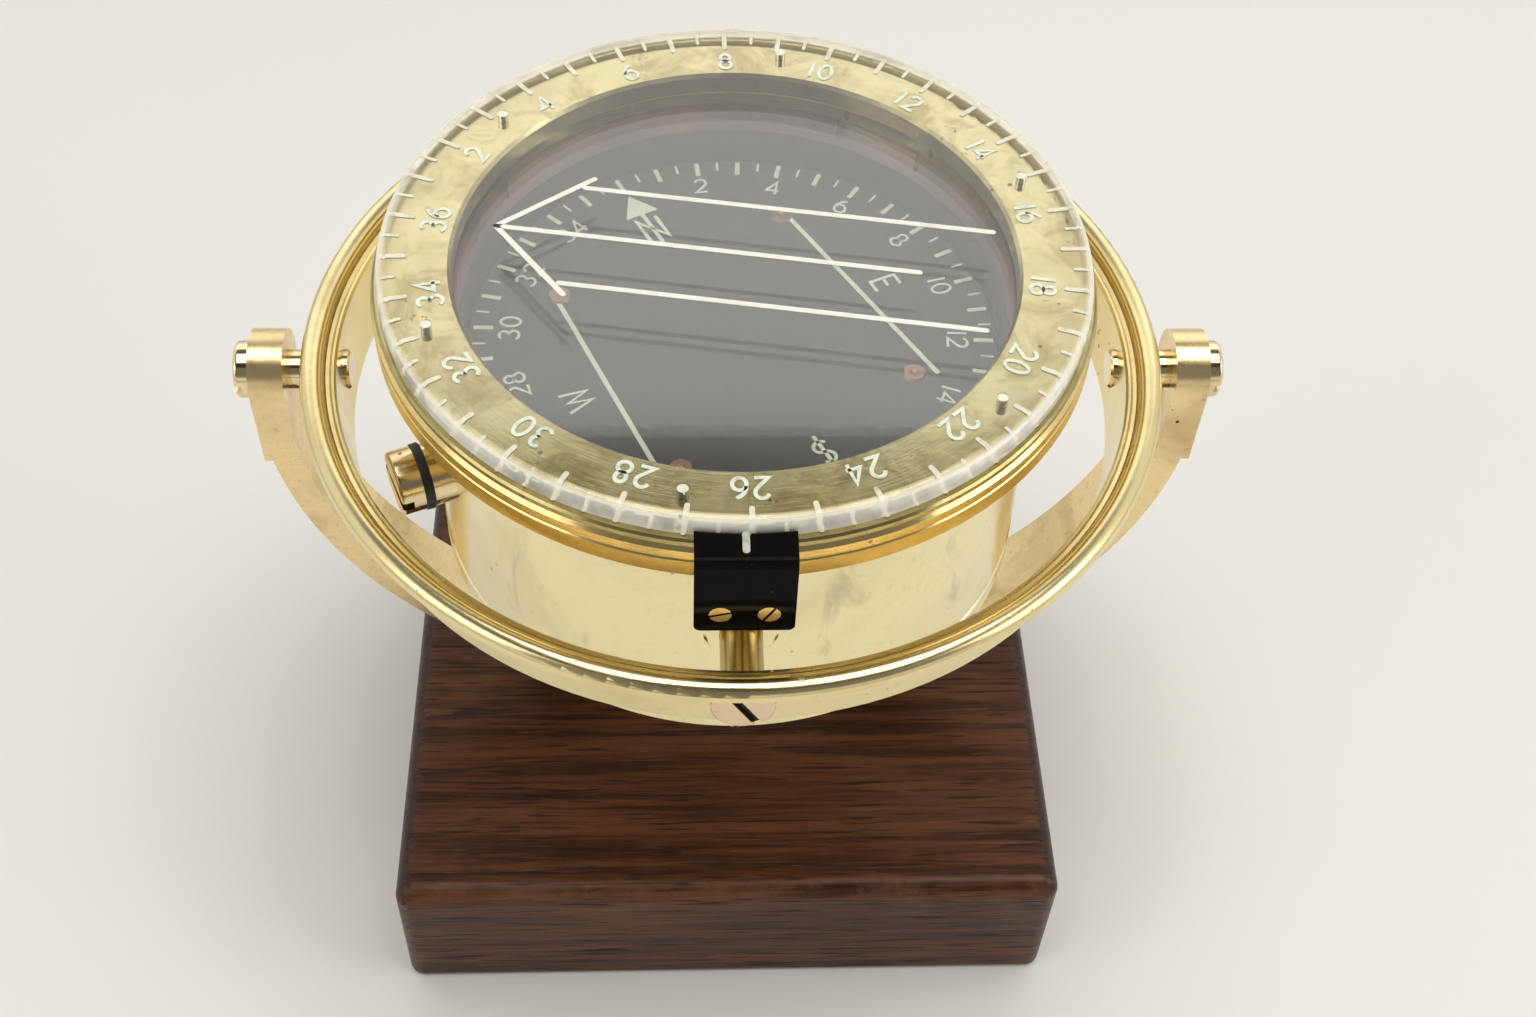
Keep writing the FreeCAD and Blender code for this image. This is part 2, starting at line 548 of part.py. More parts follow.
def bowl_rim():
    """Flange brazed on the barrel, with the pocket that the glass lies in."""
    rim = revolve([
        (GLASS_LEDGE, RIM_BOTTOM), (RIM_RADIUS - RIM_LOWER_EDGE, RIM_BOTTOM),
        (RIM_RADIUS, RIM_BOTTOM + RIM_LOWER_EDGE),
        (RIM_RADIUS, RIM_TOP - EDGE_BREAK), (RIM_RADIUS - EDGE_BREAK, RIM_TOP), (POCKET_RADIUS, RIM_TOP),
        (POCKET_RADIUS, POCKET_FLOOR), (GLASS_LEDGE, POCKET_FLOOR)])
    hole = placed(countersink(BEZEL_SCREW_HEAD, BEZEL_SCREW_RADIUS, BEZEL_SCREW_LENGTH + END_GAP),
                  V(BEZEL_SCREW_CIRCLE, 0, level(BEZEL_TOP)), V(0, 0, 1))
    return cut_all(rim, on_circle(hole, SCREWS_PER_RING, FIRST_SCREW))


def bowl_pivot_boss(angle):
    root = BOWL_RADIUS - BOWL_WALL
    boss = rod(BOSS_RADIUS, V(root, 0, AXIS_Z), V(1, 0, 0), BOSS_FACE - root)
    rim = [edge for edge in boss.Edges if edge.BoundBox.XMin > BOSS_FACE - NEAR]
    boss = boss.makeChamfer(BOSS_CHAMFER, rim)
    bore = rod(PIVOT_RADIUS + RUNNING_FIT, V(PIVOT_END - 2 * END_GAP, 0, AXIS_Z), V(1, 0, 0), FAR)
    barrel = Part.makeCylinder(BOWL_RADIUS, FAR, V(0, 0, AXIS_Z - FAR / 2))
    return turned(cut_all(boss, [bore, barrel]), angle)


def bezel_ring():
    ring = revolve([
        (BEZEL_RADIUS, RIM_TOP + EDGE_BREAK), (BEZEL_RADIUS, BEZEL_TOP - BEZEL_EDGE),
        (BEZEL_RADIUS - BEZEL_EDGE, BEZEL_TOP),
        (BEZEL_BORE, BEZEL_TOP), (BEZEL_BORE, BEZEL_LIP_BOTTOM), (RECESS_RADIUS, BEZEL_LIP_BOTTOM),
        (RECESS_RADIUS, RIM_TOP), (BEZEL_RADIUS - EDGE_BREAK, RIM_TOP)])
    hole = placed(countersink(BEZEL_SCREW_HEAD, BEZEL_SCREW_RADIUS, BEZEL_THICKNESS + PAST),
                  V(BEZEL_SCREW_CIRCLE, 0, level(BEZEL_TOP)), V(0, 0, 1))
    return cut_all(ring, on_circle(hole, SCREWS_PER_RING, FIRST_SCREW))


def bezel_screws():
    screw = placed(countersunk(BEZEL_SCREW_HEAD, BEZEL_SCREW_RADIUS, BEZEL_SCREW_LENGTH),
                   V(BEZEL_SCREW_CIRCLE, 0, level(BEZEL_TOP)), V(0, 0, 1))
    return Part.makeCompound(on_circle(screw, SCREWS_PER_RING, FIRST_SCREW))


def liner_cone_height(radius):
    share = (radius - LINER_RADIUS) / (LINER_LEDGE - LINER_RADIUS)
    return LINER_EDGE + share * (LINER_SEAT + LINER_SHEET - LINER_EDGE)


def card_well():
    """Black dish that the card turns in, hung from the ledge below the glass."""
    edge = GLASS_LEDGE - 0.1
    wall = LINER_RADIUS + LINER_SHEET
    well = revolve([
        (edge, LINER_SEAT), (edge, LINER_SEAT + LINER_SHEET), (LINER_LEDGE, LINER_SEAT + LINER_SHEET),
        (LINER_RADIUS, LINER_EDGE), (LINER_RADIUS, LINER_FLOOR), (0, LINER_FLOOR),
        (0, LINER_FLOOR - LINER_SHEET), (wall, LINER_FLOOR - LINER_SHEET), (wall, LINER_EDGE - LINER_SHEET),
        (LINER_LEDGE - 0.1, LINER_SEAT - 0.3), (LINER_LEDGE, LINER_SEAT)])
    foot = rod(POST_RADIUS + SEAT_FIT, V(0, 0, level(LINER_FLOOR - LINER_SHEET) - PAST), V(0, 0, 1),
               LINER_SHEET + 2 * PAST)
    holes = [lubber_pin(angle, SEAT_FIT) for angle in LUBBER_ANGLES]
    return cut_all(well, holes + [foot])


def lubber_pin(angle, growth=0.0):
    bottom = liner_cone_height(LUBBER_CIRCLE) - LUBBER_ROOT
    pin = rod(LUBBER_RADIUS + growth, V(LUBBER_CIRCLE, 0, level(bottom)), V(0, 0, 1),
              POCKET_FLOOR - bottom)
    return turned(pin, angle)


def pivot_post():
    tip = CARD_BOTTOM - JEWEL_HEIGHT + JEWEL_CONE - POST_TIP_GAP
    flange_top = LINER_FLOOR + POST_FLANGE_HEIGHT
    return revolve([
        (0, LINER_FLOOR - LINER_SHEET), (POST_RADIUS, LINER_FLOOR - LINER_SHEET),
        (POST_RADIUS, LINER_FLOOR), (POST_FLANGE, LINER_FLOOR),
        (POST_FLANGE, flange_top - POST_FLANGE_EDGE),
        (POST_FLANGE - POST_FLANGE_EDGE, flange_top), (POST_RADIUS, flange_top),
        (POST_RADIUS, tip - POST_SHOULDER), (POST_NECK, tip - POST_POINT), (POST_TIP, tip), (0, tip)])


def expansion_diaphragm():
    """Corrugated disc that lets the damping liquid grow and shrink."""
    top = FLOOR_BOTTOM - SHELF_DEPTH
    outer = BOWL_BORE - SEAT_FIT
    flat = outer - DIAPHRAGM_RIM
    pitch = flat / (DIAPHRAGM_WAVES + 1)
    upper = [(outer, top), (flat, top)]
    for wave in range(DIAPHRAGM_WAVES):
        radius = flat - pitch * (wave + 0.5)
        upper.append((radius, top - DIAPHRAGM_WAVE_HEIGHT))
        upper.append((radius - pitch / 2, top))
    upper.append((0, top))
    lower = [(radius, height - DIAPHRAGM_SHEET) for radius, height in reversed(upper)]
    return revolve(upper + lower)


def diaphragm_clamp():
    top = FLOOR_BOTTOM - SHELF_DEPTH - DIAPHRAGM_SHEET
    outer = BOWL_BORE - SEAT_FIT
    return tube(outer, outer - CLAMP_WIDTH, top - CLAMP_HEIGHT, top)


def bottom_cover():
    floor = COVER_BOTTOM + COVER_FLOOR
    cover = revolve([
        (0, COVER_BOTTOM), (COVER_RADIUS - COVER_EDGE, COVER_BOTTOM),
        (COVER_RADIUS, COVER_BOTTOM + COVER_EDGE),
        (COVER_RADIUS, BOWL_BOTTOM - EDGE_BREAK), (COVER_RADIUS - EDGE_BREAK, BOWL_BOTTOM),
        (BOWL_BORE - SEAT_FIT, BOWL_BOTTOM), (BOWL_BORE - SEAT_FIT, BOWL_BOTTOM + COVER_SPIGOT),
        (COVER_BORE, BOWL_BOTTOM + COVER_SPIGOT), (COVER_BORE, floor), (0, floor)])
    hole = placed(countersink(COVER_SCREW_HEAD, COVER_SCREW_RADIUS, COVER_SCREW_LENGTH),
                  V(COVER_SCREW_CIRCLE, 0, level(COVER_BOTTOM)), V(0, 0, -1))
    return cut_all(cover, on_circle(hole, SCREWS_PER_RING, FIRST_SCREW))


def bottom_cover_screws():
    screw = placed(countersunk(COVER_SCREW_HEAD, COVER_SCREW_RADIUS, COVER_SCREW_LENGTH),
                   V(COVER_SCREW_CIRCLE, 0, level(COVER_BOTTOM)), V(0, 0, -1))
    return Part.makeCompound(on_circle(screw, SCREWS_PER_RING, FIRST_SCREW))


def ballast_weight():
    floor = COVER_BOTTOM + COVER_FLOOR
    return tube(BALLAST_OUTER, BALLAST_INNER, floor, floor + BALLAST_HEIGHT)


# ---- filler ----------------------------------------------------------------------
def filler_boss():
    start = BOWL_RADIUS - BOWL_WALL
    boss = rod(FILLER_BOSS_RADIUS, from_filler(start), filler_axis(), FILLER_BOSS_FACE - start)
    bore = rod(FILLER_SHANK + SEAT_FIT, from_filler(start - PAST), filler_axis(), FAR)
    barrel = Part.makeCylinder(BOWL_RADIUS, FAR, V(0, 0, level(FILLER_HEIGHT) - FAR / 2))
    return cut_all(boss, [bore, barrel])


def filler_washer():
    washer = rod(FILLER_WASHER_RADIUS, from_filler(FILLER_BOSS_FACE), filler_axis(), FILLER_WASHER)
    washer = washer.makeFillet(WASHER_ROUND, [edge for edge in washer.Edges if len(edge.Vertexes) == 1])
    return washer.cut(rod(FILLER_SHANK + SEAT_FIT, from_filler(BOWL_RADIUS), filler_axis(), FAR))


def filler_plug():
    seat = FILLER_BOSS_FACE + FILLER_WASHER
    head = rod(FILLER_HEAD_RADIUS, V(0, 0, 0), V(0, 0, 1), FILLER_HEAD)
    face_edge = [edge for edge in head.Edges if edge.BoundBox.ZMin > FILLER_HEAD - NEAR]
    head = head.makeFillet(FILLER_EDGE_ROUND, face_edge)
    slot = box((-FILLER_SLOT_WIDTH / 2, FILLER_SLOT_WIDTH / 2), (-FILLER_HEAD_RADIUS, FILLER_HEAD_RADIUS),
               (FILLER_HEAD - FILLER_SLOT_DEPTH, FILLER_HEAD + PAST))
    reach = seat - BOWL_BORE
    shank = rod(FILLER_SHANK, V(0, 0, -reach), V(0, 0, 1), reach)
    return placed(head.cut(slot).fuse(shank), from_filler(seat), filler_axis(), FILLER_SLOT_ANGLE)


# ---- index bracket ---------------------------------------------------------------
def bracket_block():
    half = BLOCK_WIDTH / 2
    inner_face = BRACKET_FACE - BRACKET_SHEET
    block = box((-half, half), (-inner_face, -BOWL_RADIUS + BOWL_WALL),
                (level(BRACKET_BOTTOM + BLOCK_RISE), level(RIM_BOTTOM)))
    barrel = Part.makeCylinder(BOWL_RADIUS, FAR, V(0, 0, AXIS_Z - FAR / 2))
    return cut_all(block, [barrel] + bracket_screw_holes(BRACKET_SCREW_LENGTH + END_GAP))


def bracket_screw_bases():
    half = BRACKET_SCREW_SPACING / 2
    return [V(-half, -BRACKET_FACE, level(BRACKET_SCREW_HEIGHT)),
            V(half, -BRACKET_FACE, level(BRACKET_SCREW_HEIGHT))]


def bracket_screw_holes(length):
    hole = countersink(BRACKET_SCREW_HEAD, BRACKET_SCREW_RADIUS, length)
    return [placed(hole, base, V(0, -1, 0)) for base in bracket_screw_bases()]


def index_bracket():
    half = BRACKET_WIDTH / 2
    inner_edge = DISC_RADIUS + BRACKET_GAP
    angle = box((-half, half), (-BRACKET_FACE, -inner_edge + NOTCH_LENGTH),
                (level(BRACKET_BOTTOM), level(BRACKET_TOP)))
    bend = [edge for edge in angle.Edges if edge.BoundBox.ZMin > level(BRACKET_TOP) - NEAR
            and edge.BoundBox.YMax < -BRACKET_FACE + NEAR]
    angle = angle.makeFillet(BRACKET_SHEET, bend)
    inside = box((-half - PAST, half + PAST), (-BRACKET_FACE + BRACKET_SHEET, 0),
                 (level(BRACKET_BOTTOM) - PAST, level(BRACKET_TOP - BRACKET_SHEET)))
    swing = Part.makeCylinder(inner_edge, FAR, V(0, 0, AXIS_Z))
    notch_floor = level(BRACKET_TOP - NOTCH_DEPTH)
    notch_reach = -inner_edge - NOTCH_LENGTH + NOTCH_WIDTH / 2
    notch = box((-NOTCH_WIDTH / 2, NOTCH_WIDTH / 2), (notch_reach, 0), (notch_floor, notch_floor + PAST))
    notch_end = rod(NOTCH_WIDTH / 2, V(0, notch_reach, notch_floor), V(0, 0, 1), PAST)
    holes = bracket_screw_holes(BRACKET_SHEET + PAST)
    bracket = cut_all(angle, [inside, swing, notch, notch_end] + holes)
    lower = [edge for edge in bracket.Edges if edge.BoundBox.ZMax < level(BRACKET_BOTTOM) + NEAR
             and edge.BoundBox.XLength < NEAR]
    return bracket.makeFillet(BRACKET_CORNER, lower)


def bracket_screws():
    screw = countersunk(BRACKET_SCREW_HEAD, BRACKET_SCREW_RADIUS, BRACKET_SCREW_LENGTH)
    pairs = zip(bracket_screw_bases(), BRACKET_SCREW_SPINS)
    return Part.makeCompound([placed(screw, base, V(0, -1, 0), spin) for base, spin in pairs])


# ---- turning grid ----------------------------------------------------------------
def grid_screw_angle():
    """Direction of graduation 30, where the first grid screw stands."""
    return GRADUATION_AT_FRONT - 90.0 - 30.0


def grid_disc():
    disc = tube(DISC_RADIUS, 0, DISC_BOTTOM, DISC_TOP)
    upper = [edge for edge in disc.Edges if edge.BoundBox.ZMin > level(DISC_TOP) - NEAR]
    disc = disc.makeFillet(DISC_ROUND, upper)
    lower = [edge for edge in disc.Edges if edge.BoundBox.ZMax < level(DISC_BOTTOM) + NEAR
             and edge.BoundBox.XLength > DISC_RADIUS]
    disc = disc.makeChamfer(DISC_LOWER_CHAMFER, lower)
    hole = rod(GRID_SCREW_RADIUS + SEAT_FIT, V(GRID_SCREW_CIRCLE, 0, level(VERGE_TOP) - PAST), V(0, 0, 1),
               PAST + GRID_SCREW_REACH + END_GAP)
    return cut_all(disc, on_circle(hole, SCREWS_PER_RING, grid_screw_angle()))


def verge_ring():
    groove_bottom = SPRING_TOP - SPRING_SECTION - 0.1
    groove = SPIGOT_OUTER - SPRING_DEPTH
    ring = revolve([
        (VERGE_BORE, SPIGOT_BOTTOM), (SPIGOT_OUTER, SPIGOT_BOTTOM), (SPIGOT_OUTER, groove_bottom),
        (groove, groove_bottom), (groove, SPRING_TOP), (SPIGOT_OUTER, SPRING_TOP),
        (SPIGOT_OUTER, VERGE_BOTTOM), (VERGE_RADIUS, VERGE_BOTTOM), (VERGE_RADIUS, VERGE_TOP - VERGE_EDGE),
        (VERGE_RADIUS - VERGE_EDGE, VERGE_TOP), (VERGE_BORE + VERGE_BORE_EDGE, VERGE_TOP),
        (VERGE_BORE, VERGE_TOP - VERGE_BORE_EDGE)])
    hole = placed(countersink(GRID_SCREW_HEAD, GRID_SCREW_RADIUS, VERGE_THICKNESS + PAST),
                  V(GRID_SCREW_CIRCLE, 0, level(VERGE_BOTTOM)), V(0, 0, -1))
    return cut_all(ring, on_circle(hole, SCREWS_PER_RING, grid_screw_angle()))


def grid_screws():
    screw = placed(countersunk(GRID_SCREW_HEAD, GRID_SCREW_RADIUS, VERGE_THICKNESS + GRID_SCREW_REACH),
                   V(GRID_SCREW_CIRCLE, 0, level(VERGE_BOTTOM)), V(0, 0, -1))
    return Part.makeCompound(on_circle(screw, SCREWS_PER_RING, grid_screw_angle()))


def verge_spring_ring():
    """Split spring ring in the spigot's groove, under the bezel's lip."""
    inner = SPIGOT_OUTER - SPRING_DEPTH + BEDDING
    ring = tube(SPIGOT_OUTER + SPRING_REACH, inner, SPRING_TOP - SPRING_SECTION, SPRING_TOP)
    gap = box((0, RIM_RADIUS), (-SPRING_SPLIT / 2, SPRING_SPLIT / 2), (AXIS_Z, AXIS_Z + FAR))
    return ring.cut(gap)


# ---- card ------------------------------------------------------------------------
def card_places():
    """Eyelet centres in the card's own frame: east is +X, north is +Y."""
    return [V(east * MAGNET_OFFSET, north * MAGNET_OFFSET, 0) for east in (-1, 1) for north in (-1, 1)]


def on_card(shape):
    """Turn a shape from the card's own frame to the card's heading."""
    return turned(shape, CARD_HEADING - 90)


def compass_card():
    card = tube(CARD_RADIUS, 0, CARD_BOTTOM, CARD_TOP)
    holes = [rod(EYELET_SHANK + SEAT_FIT, place + V(0, 0, level(CARD_BOTTOM) - PAST), V(0, 0, 1),
                 CARD_THICKNESS + 2 * PAST)
             for place in card_places()]
    return on_card(cut_all(card, holes))


def card_eyelets():
    eyelets = []
    for place in card_places():
        seat = place + V(0, 0, level(CARD_TOP))
        flange = Part.makeCone(EYELET_RADIUS, EYELET_RADIUS - EYELET_TAPER, EYELET_FLANGE, seat)
        length = CARD_THICKNESS + MAGNET_SECTION
        shank = rod(EYELET_SHANK, seat - V(0, 0, length), V(0, 0, 1), length)
        dimple = Part.makeSphere(DIMPLE_RADIUS, seat + V(0, 0, EYELET_FLANGE + DIMPLE_RISE))
        eyelets.append(flange.fuse(shank).cut(dimple))
    return on_card(Part.makeCompound(eyelets))


def card_magnet(side):
    half = MAGNET_SECTION / 2
    bar = box((side * MAGNET_OFFSET - half, side * MAGNET_OFFSET + half),
              (-MAGNET_LENGTH / 2, MAGNET_LENGTH / 2),
              (level(CARD_BOTTOM - MAGNET_SECTION), level(CARD_BOTTOM)))
    holes = [rod(EYELET_SHANK + SEAT_FIT, place + V(0, 0, AXIS_Z), V(0, 0, 1), FAR)
             for place in card_places()]
    return on_card(cut_all(bar, holes))


def card_float():
    """Shallow sheet-metal float round the hub, under the card."""
    bore = HUB_RADIUS + SEAT_FIT
    bottom = CARD_BOTTOM - FLOAT_DEPTH
    skin = FLOAT_SHEET
    flat = FLOAT_RADIUS - FLOAT_CHAMFER
    outer = revolve([
        (bore, CARD_BOTTOM), (bore, bottom), (flat, bottom), (FLOAT_RADIUS, bottom + FLOAT_CHAMFER),
        (FLOAT_RADIUS, CARD_BOTTOM)])
    inner = revolve([
        (bore + skin, CARD_BOTTOM - skin), (bore + skin, bottom + skin), (flat - skin / 2, bottom + skin),
        (FLOAT_RADIUS - skin, bottom + FLOAT_CHAMFER + skin / 2),
        (FLOAT_RADIUS - skin, CARD_BOTTOM - skin)])
    return outer.cut(inner)


def card_hub():
    bore = JEWEL_RADIUS + SEAT_FIT
    return tube(HUB_RADIUS, bore, CARD_BOTTOM - HUB_DEPTH, CARD_BOTTOM)


def jewel_cup():
    cup = tube(JEWEL_RADIUS, 0, CARD_BOTTOM - JEWEL_HEIGHT, CARD_BOTTOM)
    cone = Part.makeCone(JEWEL_CONE, JEWEL_SEAT, JEWEL_CONE, V(0, 0, level(CARD_BOTTOM - JEWEL_HEIGHT)))
    return cup.cut(cone)


def main():
    os.makedirs("parts", exist_ok=True)
    save("wooden_base", wooden_base())
    save("yoke", yoke())
    save("yoke_foot_screws", yoke_foot_screws())
    save("trunnion_screw_left", trunnion_screw(-1))
    save("trunnion_screw_right", trunnion_screw(1))

    save("gimbal_ring", gimbal_ring())
    save("bowl_pivot_screw_front", bowl_pivot_screw(-90))
    save("bowl_pivot_screw_rear", bowl_pivot_screw(90))

    save("bowl_shell", bowl_shell())
    save("bowl_rim", bowl_rim())
    save("bowl_pivot_boss_front", bowl_pivot_boss(-90))
    save("bowl_pivot_boss_rear", bowl_pivot_boss(90))
    save("bezel_ring", bezel_ring())
    save("bezel_screws", bezel_screws())
    save("cover_glass", tube(GLASS_RADIUS, 0, GLASS_BOTTOM, GLASS_TOP))
    save("glass_gasket_lower", tube(GLASS_RADIUS - 0.1, GLASS_LEDGE, POCKET_FLOOR, GLASS_BOTTOM))
    save("glass_gasket_upper", tube(GLASS_RADIUS - 0.1, RECESS_RADIUS + 0.1, GLASS_TOP, RIM_TOP))
    save("card_well", card_well())
    save("lubber_pins", Part.makeCompound([lubber_pin(angle) for angle in LUBBER_ANGLES]))
    save("pivot_post", pivot_post())
    save("expansion_diaphragm", expansion_diaphragm())
    save("diaphragm_clamp", diaphragm_clamp())
    save("bottom_cover", bottom_cover())
    save("bottom_cover_screws", bottom_cover_screws())
    save("ballast_weight", ballast_weight())
    save("filler_boss", filler_boss())
    save("filler_washer", filler_washer())
    save("filler_plug", filler_plug())
    save("bracket_block", bracket_block())
    save("index_bracket", index_bracket())
    save("bracket_screws", bracket_screws())

    save("grid_disc", grid_disc())
    save("verge_ring", verge_ring())
    save("verge_spring_ring", verge_spring_ring())
    save("grid_screws", grid_screws())

    save("compass_card", compass_card())
    save("card_eyelets", card_eyelets())
    save("card_magnet_west", card_magnet(-1))
    save("card_magnet_east", card_magnet(1))
    save("card_float", card_float())
    save("card_hub", card_hub())
    save("jewel_cup", jewel_cup())


main()
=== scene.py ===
import math

import bmesh
import bpy
from mathutils import Matrix, Vector

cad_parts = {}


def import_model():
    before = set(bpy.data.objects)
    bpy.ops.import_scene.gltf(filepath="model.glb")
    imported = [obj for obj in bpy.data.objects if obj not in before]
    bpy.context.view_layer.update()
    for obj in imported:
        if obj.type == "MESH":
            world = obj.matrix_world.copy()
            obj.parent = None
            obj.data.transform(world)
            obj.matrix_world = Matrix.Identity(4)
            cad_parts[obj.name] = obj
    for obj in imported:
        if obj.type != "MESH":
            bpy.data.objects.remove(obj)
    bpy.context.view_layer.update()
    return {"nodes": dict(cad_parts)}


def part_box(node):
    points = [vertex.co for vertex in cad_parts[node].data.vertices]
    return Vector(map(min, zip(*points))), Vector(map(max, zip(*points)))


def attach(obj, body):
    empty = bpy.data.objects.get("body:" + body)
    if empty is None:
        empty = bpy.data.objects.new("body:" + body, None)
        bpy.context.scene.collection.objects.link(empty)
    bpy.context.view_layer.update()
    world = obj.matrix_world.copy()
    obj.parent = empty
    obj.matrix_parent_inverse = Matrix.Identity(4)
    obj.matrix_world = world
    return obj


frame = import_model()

NODES = frame["nodes"]
MM = 0.001

# ---- where things stand, in metres, from the CAD --------------------------------
DISC_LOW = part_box("grid_disc")[0]
CARD_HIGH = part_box("compass_card")[1]
BRACKET_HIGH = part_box("index_bracket")[1]
BASE_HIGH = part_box("wooden_base")[1]
WELL_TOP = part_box("card_well")[1].z
PIVOT_HEAD = -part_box("bowl_pivot_screw_front")[0].y
SCREW_FACE = -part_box("bracket_screws")[0].y

# ---- camera and light -------------------------------------------------------------
IMAGE_WIDTH = 1536
IMAGE_HEIGHT = 1017
FOCAL_PIXELS = 1905.0
CENTRE_X = 768.46
CENTRE_Y = 456.12
CAMERA_PLACE = Vector((-13.49, -310.98, 489.96)) * MM
AZIMUTH = math.radians(4.222)
ELEVATION = math.radians(49.08)
ROLL = math.radians(3.035)
SENSOR = 36.0

# ---- graduations on the turning grid (millimetres and degrees) ----------------------
ZERO_ANGLE = 171.06
LONG_TICK = (73.3, 78.6)
SHORT_TICK = (75.4, 78.6)
LONG_TICK_WIDTH = 1.15
SHORT_TICK_WIDTH = 0.8
NUMERAL_RADIUS = 68.1
NUMERAL_HEIGHT = 5.4
NUMERAL_STROKE = 0.85
LINE_WIDTH = 1.3
SIDE_LINE = 15.7
MARK_DEPTH = 0.25
MARK_INSET = 0.05              # the marks start this far above the disc's underside
NUMERAL_SPREAD = 0.92          # widening of the numerals
APEX_REACH = 54.4              # point of the arrow, from the centre
SIDE_LINE_HEAD = 37.0          # end of each side line, towards the point
SIDE_LINE_TAIL = -56.3
MIDDLE_LINE_TAIL = -40.8
ARROW_BARB = (35.5, 19.0)      # far end of each barb of the arrow: along, across

# ---- the card ------------------------------------------------------------------------
CARD_HEADING = 118.0
CARD_TICK_OUTER = 60.4
CARD_LONG_TICK = 4.6
CARD_SHORT_TICK = 3.0
CARD_NUMERAL_RADIUS = 52.0
CARD_NUMERAL_HEIGHT = 4.6
CARD_STROKE = 0.62
LETTER_HEIGHT = 6.4
LETTER_STROKE = 0.8
NORTH_HEIGHT = 7.6
NORTH_STROKE = 1.05
NORTH_RADIUS = 40.6
CARD_LINE_NORTH = 31.0
CARD_LINE_NORTH_EAST = 31.3
CARD_LINE_SOUTH = 33.0
CARD_LINE_SOUTH_EAST = 35.2
CARD_LINE_WIDTH = 1.15
CARD_LONG_TICK_WIDTH = 1.15
CARD_SHORT_TICK_WIDTH = 0.55
CARD_NUMERAL_SPREAD = 1.05
CARD_MARK_LIFT = 0.005         # gap between the card and its paint
CARD_MARK_DEPTH = 0.06
CARD_LETTERS = (("E", 93, 40.3), ("S", 180, 41.0), ("W", 268, 41.3))   # sign, bearing, radius
NORTH_STEM = (-5.4, 5.6)       # upright stroke through the N
NORTH_ARROW = [(-4.4, -3.6), (4.4, -3.6), (0.0, 3.9)]
NORTH_ARROW_OUT = 9.2          # from the N to the arrowhead above it
SOUTH_RADIUS = 41.0
SOUTH_STEM = 5.2
SOUTH_STEM_WIDTH = 0.9

# ---- the index on the bracket ----------------------------------------------------------
NOTCH_DEPTH = 0.6
NOTCH_FLOOR_GAP = 0.02
NOTCH_FILL_DROP = 0.12         # filling stands this far below the bracket's top
NOTCH_INNER = -79.9
NOTCH_LENGTH = 3.9
NOTCH_WIDTH = 1.5

# ---- the room ----------------------------------------------------------------------------
FLOOR_SIZE = 6.0
WALL_COLOUR = (0.84, 0.83, 0.80, 1.0)
CEILING_COLOUR = (0.12, 0.12, 0.11, 1.0)
CEILING_START = 0.730          # sine of the height at which the walls begin to darken
CEILING_END = 0.772
ROOM_DIM = 0.22                # strength of the room behind the camera
LAMP_COLOUR = (1.0, 0.985, 0.955)


